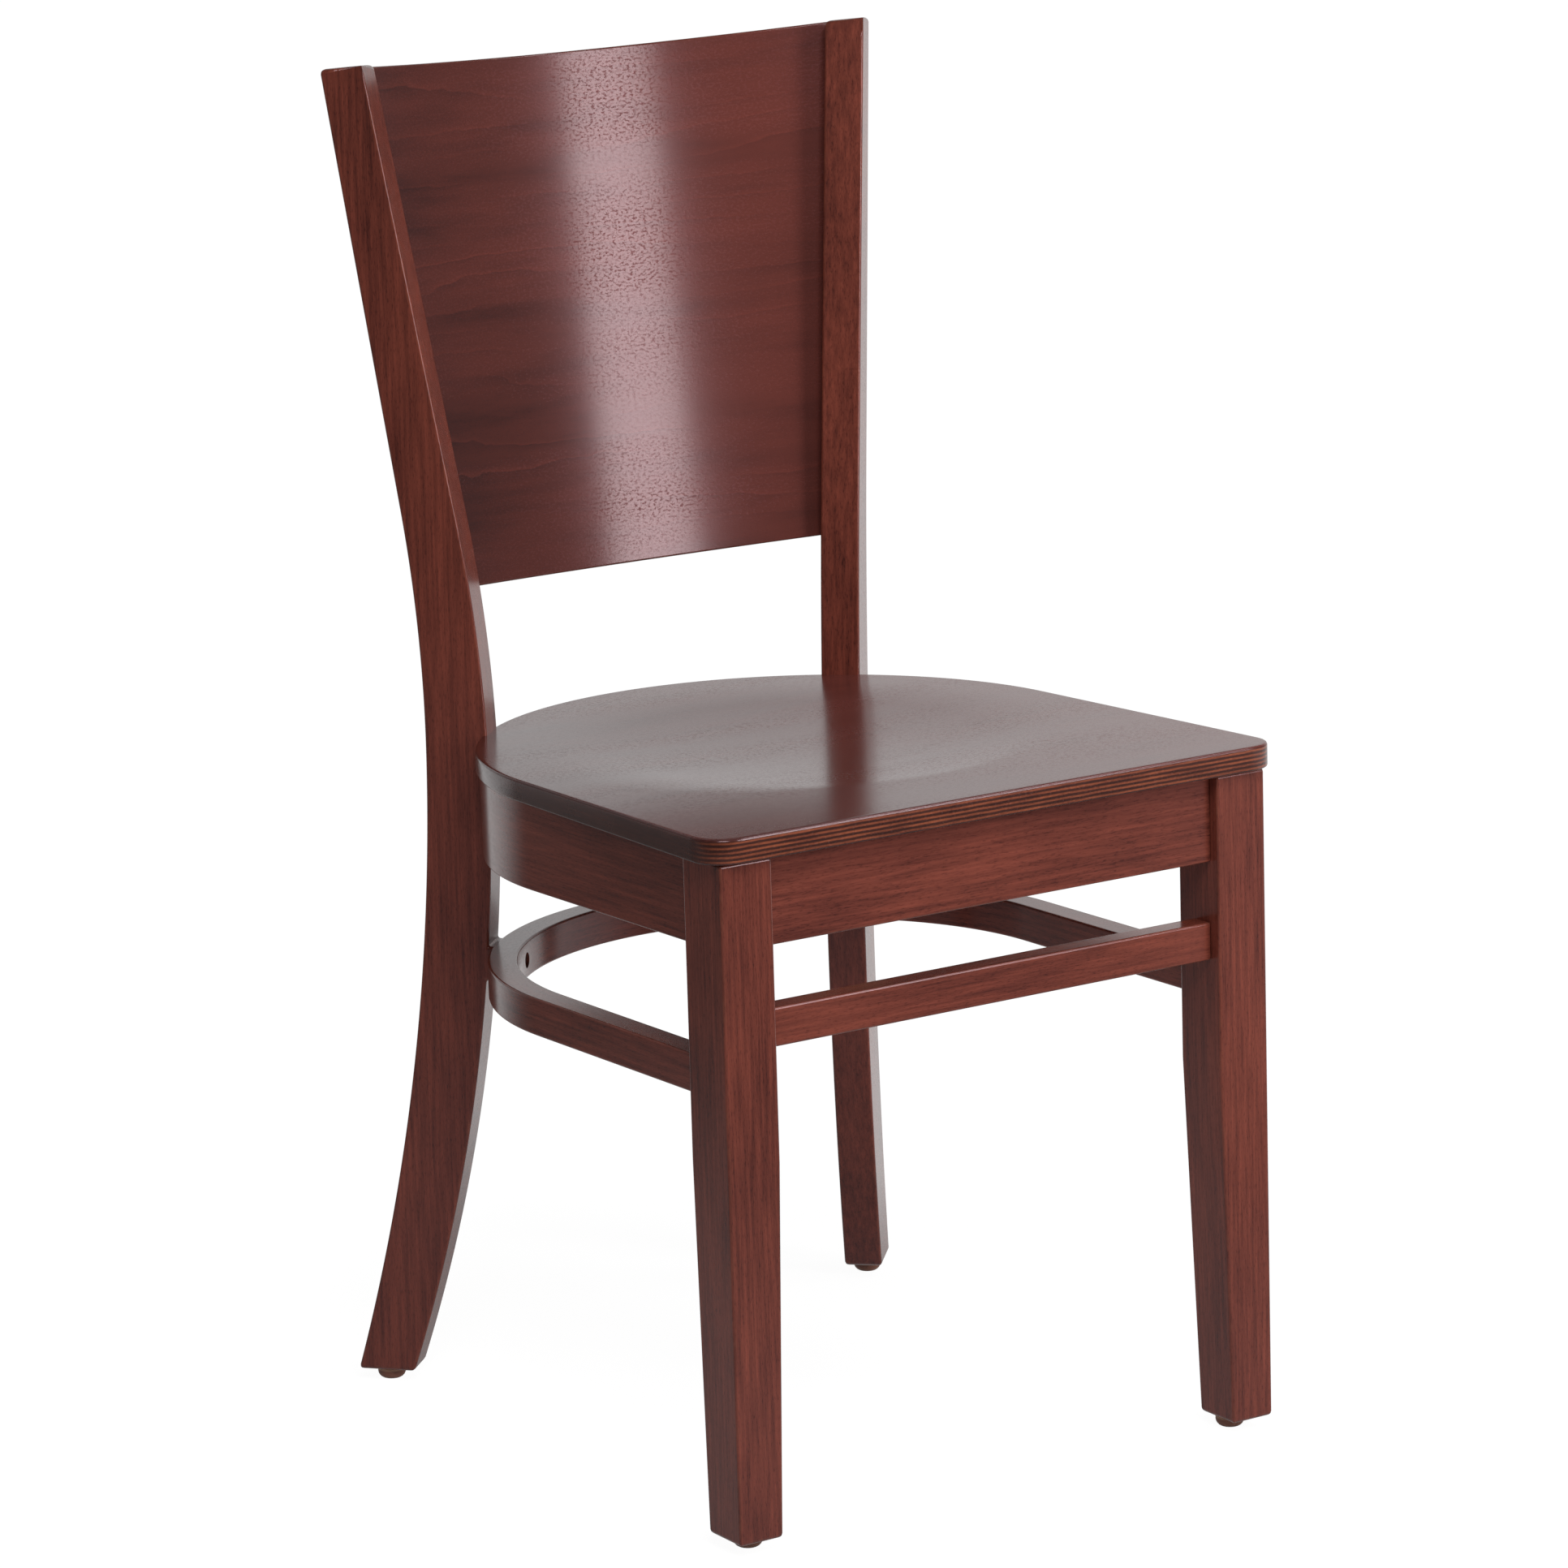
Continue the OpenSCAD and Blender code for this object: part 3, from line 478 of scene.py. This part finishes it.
def straight_grain(place, along, across, through, start):
    """The grain of a straight piece: its coordinates along, across and through the board."""
    turn = place.inverted()

    def course(point):
        own = turn @ point * MM
        return own.dot(along) + start, own.dot(across) + start, own.dot(through)

    return course


def bent_grain(start):
    """The grain of a bent frame: it follows the bend, and its arms run on straight."""
    turn = PITCHED.inverted()

    def course(point):
        own = turn @ point
        back = own.y - bend_y
        if back > 0:
            along = math.atan2(own.x, back) * bend_r
            depth = math.hypot(own.x, back)
        else:
            along = math.copysign(bend_r * math.pi / 2 - back, own.x)
            depth = abs(own.x)
        return along * MM + start, own.z * MM + start, depth * MM

    return course


def panel_grain(point):
    """The panel's veneer runs round the bend."""
    own = PANEL.inverted() @ point
    return math.atan2(own.x, own.y) * panel_r * MM, own.z * MM, math.hypot(own.x, own.y) * MM


def block(low, high):
    """A box between two corners."""
    shape = bmesh.new()
    bmesh.ops.create_cube(shape, size=1)
    size = Vector(high) - Vector(low)
    bmesh.ops.scale(shape, vec=size, verts=shape.verts)
    bmesh.ops.translate(shape, vec=Vector(low) + size / 2, verts=shape.verts)
    return shape


def cutter(shape, place):
    """A shape that cuts others, and is thrown away once it has."""
    bmesh.ops.transform(shape, matrix=place, verts=shape.verts)
    bmesh.ops.recalc_face_normals(shape, faces=shape.faces)
    mesh = bpy.data.meshes.new("cutter")
    shape.to_mesh(mesh)
    shape.free()
    thing = bpy.data.objects.new("cutter", mesh)
    scene.collection.objects.link(thing)
    return thing


def drum(radius, low, high, sides=hole_sides):
    """An upright cylinder between two heights."""
    shape = bmesh.new()
    bmesh.ops.create_cone(
        shape, cap_ends=True, segments=sides, radius1=radius, radius2=radius, depth=high - low)
    bmesh.ops.translate(shape, vec=(0, 0, (low + high) / 2), verts=shape.verts)
    return shape


def leg_shape():
    """The right leg: square above, its two inner faces run in below."""
    shape = block((leg_in_x, 0, taper_top), (leg_out_x, leg_d, frame_top))
    sole = [face for face in shape.faces if face.normal.z < -0.5]
    grown = bmesh.ops.extrude_face_region(shape, geom=sole)
    bmesh.ops.delete(shape, geom=sole, context="FACES")
    ends = [v for v in grown["geom"] if isinstance(v, bmesh.types.BMVert)]
    for corner in ends:
        corner.co.z = -seat_h
        if corner.co.x < leg_out_x - leg_w / 2:
            corner.co.x += leg_taper
        if corner.co.y > leg_d / 2:
            corner.co.y -= leg_taper
    return shape


def sawn_flat(shape, point, normal):
    """Saws a shape off beyond a plane and closes the cut."""
    everything = shape.verts[:] + shape.edges[:] + shape.faces[:]
    cut = bmesh.ops.bisect_plane(
        shape, geom=everything, plane_co=point, plane_no=normal, clear_outer=True)
    edges = [e for e in cut["geom_cut"] if isinstance(e, bmesh.types.BMEdge)]
    bmesh.ops.edgeloop_fill(shape, edges=edges)


def ring_shape(low, high):
    """A bent frame: a section drawn out along one arm, spun round the bend, and out again."""
    shape = bmesh.new()
    corners = [shape.verts.new((x, leg_d, z))
               for x, z in ((bend_in_r, low), (bend_r, low), (bend_r, high), (bend_in_r, high))]
    edges = [shape.edges.new((a, b)) for a, b in zip(corners, corners[1:] + corners[:1])]

    def drawn(edges, run):
        grown = bmesh.ops.extrude_edge_only(shape, edges=edges)["geom"]
        ends = [v for v in grown if isinstance(v, bmesh.types.BMVert)]
        bmesh.ops.translate(shape, vec=(0, run, 0), verts=ends)
        rims = [e for e in grown if isinstance(e, bmesh.types.BMEdge)]
        return [e for e in rims if all(v in ends for v in e.verts)]

    edges = drawn(edges, bend_y - leg_d)
    verts = list({v for e in edges for v in e.verts})
    spun = bmesh.ops.spin(
        shape, geom=verts + edges, cent=(0, bend_y, 0), axis=Z_AXIS, angle=math.pi,
        steps=bend_steps)
    edges = [e for e in spun["geom_last"] if isinstance(e, bmesh.types.BMEdge)]
    drawn(edges, leg_d - bend_y)
    bmesh.ops.holes_fill(shape, edges=shape.edges, sides=4)
    return shape


def glide_shape():
    """A floor glide: a rounded sole under a straight collar, spun round its nail.

    Each point of its half section is a radius, taken from the collar's, and a height.
    """
    half = glide_d / 2
    outline = [(0, 0), (half - 4.4, 0), (half - 3, 0.4), (half - 1.9, 1.1), (half - 1, 2.1),
               (half - 0.4, 3.3), (half - 0.1, 4.6), (half - 0.2, glide_h - 1.7),
               (half, glide_h - 1.5), (half, glide_h - 0.3), (half - 0.3, glide_h), (0, glide_h)]
    shape = bmesh.new()
    points = [shape.verts.new((r, 0, z)) for r, z in outline]
    edges = [shape.edges.new(pair) for pair in zip(points, points[1:])]
    bmesh.ops.spin(
        shape, geom=points + edges, cent=(0, 0, 0), axis=Z_AXIS, angle=2 * math.pi,
        steps=glide_steps, use_merge=True)
    bmesh.ops.remove_doubles(shape, verts=shape.verts, dist=same_point)
    return shape


def post_shape():
    """A post: its side view, with the land that meets the lower ring, drawn out to its width.

    Its last row is tall, so that the sloping saw cut at the top crosses no other row.
    """
    shape = bmesh.new()
    row_h = (back_h - post_top_row - glide_h) / post_rows
    heights = [glide_h + row * row_h for row in range(post_rows + 1)] + [back_h]
    low = level_z(-ring_drop - ring_h) + land_margin
    high = level_z(-ring_drop) - land_margin
    outline = [(inner_at(z), z) for z in heights if z < low - land_margin]
    outline += [(inner_at(low), low), (inner_u - land_t, low)]
    outline += [(inner_u - land_t, high), (inner_at(high), high)]
    outline += [(inner_at(z), z) for z in heights if z > high + land_margin]
    outline += [(outer_at(z), z) for z in reversed(heights)]
    corners = [shape.verts.new((-post_w / 2, u, z)) for u, z in outline]
    grown = bmesh.ops.extrude_face_region(shape, geom=[shape.faces.new(corners)])
    ends = [v for v in grown["geom"] if isinstance(v, bmesh.types.BMVert)]
    bmesh.ops.translate(shape, vec=(post_w, 0, 0), verts=ends)
    post = at_post(1)
    bmesh.ops.transform(shape, matrix=post, verts=shape.verts)
    fall = Vector((0, math.sin(post_top_fall), math.cos(post_top_fall)))
    sawn_flat(shape, CHAIR @ Vector((0, top_front_y, back_h)), fall)
    bmesh.ops.transform(shape, matrix=post.inverted(), verts=shape.verts)
    return shape


def panel_shape():
    """The bent panel: an upright section spun round the bend, longer than it ends up."""
    shape = bmesh.new()
    half_turn = math.asin(0.5)
    back_r = panel_r + panel_t
    corners = [shape.verts.new((x, 0, z))
               for x, z in ((panel_r, 0), (back_r, 0), (back_r, panel_h), (panel_r, panel_h))]
    edges = [shape.edges.new((a, b)) for a, b in zip(corners, corners[1:] + corners[:1])]
    bmesh.ops.rotate(
        shape, cent=(0, 0, 0), verts=corners,
        matrix=Matrix.Rotation(math.pi / 2 - half_turn, 3, "Z"))
    bmesh.ops.spin(
        shape, geom=corners + edges, cent=(0, 0, 0), axis=Z_AXIS, angle=2 * half_turn,
        steps=panel_steps)
    bmesh.ops.holes_fill(shape, edges=shape.edges, sides=4)
    return shape


# The seat's outline is the hull of two corner rounds and the round back
corner_x = seat_w / 2 - seat_corner_r
corner_y = seat_corner_r - seat_nose
seat_back_r = bend_r + seat_round
seat_back_y = bend_y + bend_r + seat_lap - seat_back_r
SEAT_ROUNDS = ((-corner_x, corner_y, seat_corner_r), (corner_x, corner_y, seat_corner_r),
               (0, seat_back_y, seat_back_r))


def hull_reach():
    """For each direction out of the dish's middle, how far the seat's outline stands off."""
    reach = []
    for step in range(hull_steps):
        turn = 2 * math.pi * step / hull_steps
        reach.append(max(
            x * math.cos(turn) + (y - dish_y) * math.sin(turn) + r for x, y, r in SEAT_ROUNDS))
    return reach


HULL = hull_reach()


def outline_at(turn):
    """Distance from the dish's middle to the seat's outline, in one direction."""
    near = round(turn / (2 * math.pi) * hull_steps)
    wide = hull_steps // 6
    return min(
        HULL[step % hull_steps] / math.cos(2 * math.pi * step / hull_steps - turn)
        for step in range(near - wide, near + wide + 1))


# The dish is part of a ball, whose rim runs out softly and more so towards the back
dish_ball_r = (dish_rim_r ** 2 + dish_depth ** 2) / (2 * dish_depth)


def ball_at(away):
    """Depth of the dish's ball, and its slope, at a distance from its middle."""
    run = math.sqrt(dish_ball_r ** 2 - away ** 2)
    return run - (dish_ball_r - dish_depth), away / run


def seat_top(x, y):
    """The dished top of the seat, in the seat frame's coordinates."""
    away = math.hypot(x, y - dish_y)
    front = max((dish_y - y) / max(away, 1), 0) ** 2
    begin = dish_rim_r - rim_soft_back + (rim_soft_back - rim_soft_front) * front
    hollow, slope = ball_at(min(away, begin))
    if away > begin:
        run_out = 2 * hollow / slope
        hollow *= max(1 - (away - begin) / run_out, 0) ** 2
    return -y * math.tan(seat_rake) - hollow


def seat_shape():
    """The seat board: a half section spun round, then drawn out to the outline and dished."""
    shape = bmesh.new()
    # Each point: share of the way out, set-in from the edge, drop from the top, rise from below
    section = [(share / seat_rows, 0, 0, None) for share in range(seat_rows + 1)]
    section[-1] = (1, seat_ease, 0, None)
    for step in range(1, seat_ease_steps + 1):
        turn = math.pi / 2 * step / seat_ease_steps
        inset, drop = seat_ease * (1 - math.sin(turn)), seat_ease * (1 - math.cos(turn))
        section.append((1, inset, drop, None))
    for step in range(seat_low_ease_steps + 1):
        turn = math.pi / 2 * step / seat_low_ease_steps
        inset, rise = seat_low_ease * (1 - math.cos(turn)), seat_low_ease * (1 - math.sin(turn))
        section.append((1, inset, None, rise))
    section += [(share / seat_low_rows, 0, None, 0) for share in reversed(range(seat_low_rows))]
    verts = [shape.verts.new((share, 0, -index)) for index, (share, *_) in enumerate(section)]
    edges = [shape.edges.new(pair) for pair in zip(verts, verts[1:])]
    bmesh.ops.spin(
        shape, geom=verts + edges, cent=(0, 0, 0), axis=Z_AXIS, angle=2 * math.pi,
        steps=seat_steps, use_merge=True)
    bmesh.ops.remove_doubles(shape, verts=shape.verts, dist=same_point)
    reached = {}
    for corner in shape.verts:
        share, inset, drop, rise = section[round(-corner.co.z)]
        turn = math.atan2(corner.co.y, corner.co.x)
        key = round(turn, 5)
        if key not in reached:
            reached[key] = outline_at(turn)
        out = share * reached[key] - inset
        x, y = out * math.cos(turn), dish_y + out * math.sin(turn)
        z = seat_top(x, y) - drop if rise is None else rise - seat_t
        corner.co = Vector((x, y, z))
    return shape


def seat_mesh():
    """The seat's mesh, marked where its edge shows plies and how far each point faces front, which
    the finish uses to paint shade over the plies on the side and back edges.
    """
    shape = seat_shape()
    bmesh.ops.transform(shape, matrix=PITCHED, verts=shape.verts)
    bmesh.ops.recalc_face_normals(shape, faces=shape.faces)
    mesh = bpy.data.meshes.new("seat")
    shape.to_mesh(mesh)
    shape.free()
    mesh.polygons.foreach_set("use_smooth", [True] * len(mesh.polygons))
    down = PITCHED.inverted()
    edge = mesh.attributes.new("edge", "FLOAT", "POINT")
    facing = mesh.attributes.new("facing", "FLOAT", "POINT")
    shown, front_lit_share = [], []
    for vertex in mesh.vertices:
        own = down @ vertex.co
        low = own.z + seat_t
        high = seat_top(own.x, own.y) - own.z
        shown.append(min(max((high - plies_begin) / plies_fade, 0), 1) * float(low > plies_end))
        # How far each point faces front, which the seat's finish uses for painted shade on its side
        # and back edges
        front_lit_share.append(max(-vertex.normal.y, 0))
    edge.data.foreach_set("value", shown)
    facing.data.foreach_set("value", front_lit_share)
    return mesh


def front_leg(side, word, start):
    """A front leg, sawn level above its glide."""
    place = PITCHED @ Matrix.Scale(side, 4, X_AXIS)
    shape = leg_shape()
    bmesh.ops.transform(shape, matrix=place, verts=shape.verts)
    sawn_flat(shape, (0, 0, glide_h * MM), -Z_AXIS)
    bmesh.ops.transform(shape, matrix=place.inverted(), verts=shape.verts)
    piece("leg_" + word, eased(shape, place, leg_ease, leg_end_ease), WOOD, "stained_wood",
          straight_grain(PITCHED, Z_AXIS, X_AXIS, Y_AXIS, start), "front_leg_" + word)


def back_post(side, word, start, core):
    """A back post, its land cut to the round of the lower ring."""
    place = at_post(side)
    mesh = eased(post_shape(), place, post_ease, post_end_ease, cuts=[core])
    piece("post_" + word, mesh, WOOD, "stained_wood",
          straight_grain(place, Z_AXIS, Y_AXIS, X_AXIS, start), "back_post_" + word)


def straight_bar(name, back, thick, low, high, ease, start, node):
    """A bar between the front legs, set back from their faces."""
    shape = block((-leg_in_x, back, low), (leg_in_x, back + thick, high))
    piece(name, eased(shape, PITCHED, ease), WOOD, "stained_wood",
          straight_grain(PITCHED, X_AXIS, Z_AXIS, Y_AXIS, start), node)


def bolt_cutters():
    """The holes of the ring's bolts, counterbored from the inside."""
    bolt_z = level_z(ring_mid)
    face = bend_face_u(bolt_z)
    cutters = []
    for side, _ in SIDES:
        outwards = Matrix.Rotation(-math.pi / 2, 4, "X")
        line = at_post(side) @ Matrix.Translation((0, 0, bolt_z)) @ outwards
        seat_of_head = face - bend_t + counterbore_d
        cutters += [
            cutter(drum(bolt_head_d / 2 + bolt_gap, face - 2 * bend_t, seat_of_head), line),
            cutter(drum(bolt_d / 2 + bolt_gap, face - bend_t, face + bend_t), line),
        ]
    return cutters


def back_panel():
    """The panel, its ends sawn off at the bottom of the posts' grooves."""
    groove_x = -post_w / 2 + groove_d
    low, high = (groove_x, -panel_r, 0), (panel_r, panel_r, 2 * back_h)
    ends = [cutter(block(low, high), at_post(side)) for side, _ in SIDES]
    piece("panel", eased(panel_shape(), PANEL, panel_ease, cuts=ends), PANEL_PLY, "panel_ply",
          panel_grain, "back_panel")
    for end in ends:
        bpy.data.objects.remove(end)


def glides():
    """The four floor glides, under the middle of each sole."""
    front_x = leg_out_x - leg_w / 2
    front_y = leg_d / 2 * math.cos(seat_pitch) - (seat_h - glide_h) * math.sin(seat_pitch)
    back_u = (inner_at(glide_h) + outer_at(glide_h)) / 2
    for side, word in SIDES:
        front_foot = CHAIR @ Matrix.Translation((side * front_x, front_y, 0))
        back_foot = at_post(side) @ Matrix.Translation((0, back_u, 0))
        for foot, end in ((front_foot, "front_"), (back_foot, "back_")):
            piece("foot_" + end + word, turned(glide_shape(), foot), PLASTIC, "glide_plastic",
                  straight_grain(foot, X_AXIS, Y_AXIS, Z_AXIS, 0), "glide_" + end + word)


def build():
    """All pieces that show, each in place of its solid."""
    ring_low, ring_high = -ring_drop - ring_h, -ring_drop
    core = cutter(drum(bend_r, ring_low - land_margin, ring_high + land_margin, core_sides),
                  PITCHED @ Matrix.Translation((0, bend_y, 0)))
    for count, (side, word) in enumerate(SIDES):
        front_leg(side, word, leg_start + count)
        back_post(side, word, post_start + count, core)
    bpy.data.objects.remove(core)
    straight_bar("rail", rail_recess, rail_t, frame_top - apron_h, frame_top,
                 rail_ease, rail_start, "front_rail")
    straight_bar("stretcher_bar", stretcher_recess, stretcher_t, -stretcher_drop - stretcher_h,
                 -stretcher_drop, stretcher_ease, stretcher_start, "front_stretcher")
    apron = eased(ring_shape(frame_top - apron_h, frame_top), PITCHED, apron_ease)
    piece("apron_bend", apron, WOOD, "stained_wood", bent_grain(apron_start), "apron")
    holes = bolt_cutters()
    ring = eased(ring_shape(ring_low, ring_high), PITCHED, ring_ease, cuts=holes)
    piece("ring_bend", ring, WOOD, "stained_wood", bent_grain(ring_start), "stretcher_ring")
    for hole in holes:
        bpy.data.objects.remove(hole)
    back_panel()
    piece("seat_board", seat_mesh(), SEAT_PLY, "seat_ply",
          straight_grain(PITCHED, X_AXIS, Y_AXIS, Z_AXIS, 0), "seat")
    glides()


build()

# The solids that stay: joinery and fasteners
for words, material in (
    (("dowels", "block"), BEECH),
    (("bolts", "washers", "screws", "nails"), STEEL),
    (("inserts",), BRASS),
):
    for name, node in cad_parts.items():
        if any(word in name for word in words):
            node.data.materials.clear()
            node.data.materials.append(material)

# Camera, as the photograph was taken: turned to its right by yaw, down by pitch, then rolled
yaw, pitch, roll = math.radians(34.020), math.radians(13.189), math.radians(1.104)
camera_place, sensor_width, lens = (-2.3017, -3.41695, 1.3839), 36, 147.936
camera_data = bpy.data.cameras.new("camera")
camera_data.sensor_width = sensor_width
camera_data.lens = lens
camera = bpy.data.objects.new("camera", camera_data)
scene.collection.objects.link(camera)
ahead = Vector((math.sin(yaw) * math.cos(pitch), math.cos(yaw) * math.cos(pitch), -math.sin(pitch)))
level = Vector((math.cos(yaw), -math.sin(yaw), 0))
down = ahead.cross(level)
right = math.cos(roll) * level + math.sin(roll) * down
below = math.cos(roll) * down - math.sin(roll) * level
turn = Matrix((right, -below, -ahead)).transposed().to_4x4()
camera.matrix_world = Matrix.Translation(camera_place) @ turn
scene.camera = camera


def lamp(name, place, aim, width, height, power, roll=0):
    """A soft rectangular lamp that looks at a point, rolled by degrees about its line of sight."""
    data = bpy.data.lights.new(name, "AREA")
    data.shape = "RECTANGLE"
    data.size, data.size_y, data.energy = width, height, power
    light = bpy.data.objects.new(name, data)
    scene.collection.objects.link(light)
    way = Vector(aim) - Vector(place)
    facing = way.to_track_quat("-Z", "Y").to_matrix().to_4x4()
    rolled = Matrix.Rotation(math.radians(roll), 4, "Z")
    light.matrix_world = Matrix.Translation(place) @ facing @ rolled


lamp("key", place=(1.04, -2, 1.18), aim=(0, 0.15, 0.72), width=0.72, height=1.15, power=22.5,
     roll=8)
lamp("fill", place=(-0.8, -1.5, 2.25), aim=(0, 0, 0.6), width=1.1, height=1.1, power=26)
lamp("top", place=(1.35, -1.1, 2.3), aim=(0, 0, 0.5), width=0.62, height=0.62, power=9)

# Level directions from the chair, named as the photograph looks at it
BEHIND, BEHIND_RIGHT = (0.6, 0.8, 0), (0.82, 0.57, 0)
BEHIND_LEFT, FLOOR_BEHIND_LEFT, BEFORE_LEFT = (-0.6, 0.8, 0), (-0.56, 0.83, 0), (-0.85, -0.5, 0)

# The world is white to the camera. Reflections find it light behind the chair and dim elsewhere,
# and matt faces are lit by it a little, most from behind to the right.
world = bpy.data.worlds.new("studio")
scene.world = world
made = Finish(world)
sight = made.put("LightPath", out="Is Camera Ray")
gloss = made.put("LightPath", out="Is Glossy Ray")
way = made.put("TexCoord", out=0)
behind = made.span(made.along(way, BEHIND), 0.4, 0.85) * 0.62
left_light = made.span(made.along(way, BEHIND_LEFT), 0.5, 0.9) * 0.08
seen = sight.maths("MAXIMUM", sight, gloss * (0.04 + (behind + left_light)))
matt = 1 - sight.maths("MAXIMUM", sight, gloss)
level_light = 0.105 + made.span(made.along(way, BEHIND_RIGHT), 0, 1) * 0.4
sky = made.put("Background", {"Color": tone(1, 1, 1), "Strength": seen + matt * level_light})
made.put("OutputWorld", {"Surface": sky})

# The floor is white to the camera and keeps the chair's shadow. Reflections find it light
# behind the chair to the right, and dim elsewhere.
floor_r, floor_sides = 14, 96
floor_shape = bmesh.new()
bmesh.ops.create_circle(floor_shape, cap_ends=True, segments=floor_sides, radius=floor_r)
floor_mesh = bpy.data.meshes.new("floor")
floor_shape.to_mesh(floor_mesh)
floor_shape.free()
floor = bpy.data.objects.new("floor", floor_mesh)
scene.collection.objects.link(floor)
floor_finish = bpy.data.materials.new("pale_floor")
made = Finish(floor_finish)
sight = made.put("LightPath", out="Is Camera Ray")
gloss = made.put("LightPath", out="Is Glossy Ray")
place = made.put("TexCoord", out=3)
away = made.put("VectorMath", {0: place}, out=1, operation="LENGTH")
under = 0.4 - 0.4 * made.span(away, 0.5, 1.3)
left_light = made.span(made.along(place, FLOOR_BEHIND_LEFT), 0.5, 1.5) * 0.08
ahead = made.along(place, BEFORE_LEFT)
before = made.span(ahead, 0.3, 1.2) * (1 - made.span(ahead, 1.7, 2.7))
dim = under + left_light + before * 0.2
bright = dim.maths("MAXIMUM", made.span(made.along(place, BEHIND_RIGHT), 0, 0.5), dim) * 0.66
share = sight * (0.855 + made.span(away, 0.4, 1) * 0.04) + gloss * bright
pale = made.blend(gloss, tone(0.8, 0.8, 0.8), tone(0.1, 0.1, 0.1))
lit = made.put("BsdfDiffuse", {"Color": pale})
white = made.put("Emission", {"Color": tone(1, 1, 1), "Strength": 1.12})
made.put("OutputMaterial", {"Surface": made.put("MixShader", {0: share, 1: lit, 2: white})})
floor_mesh.materials.append(floor_finish)

scene.view_settings.view_transform = "Standard"
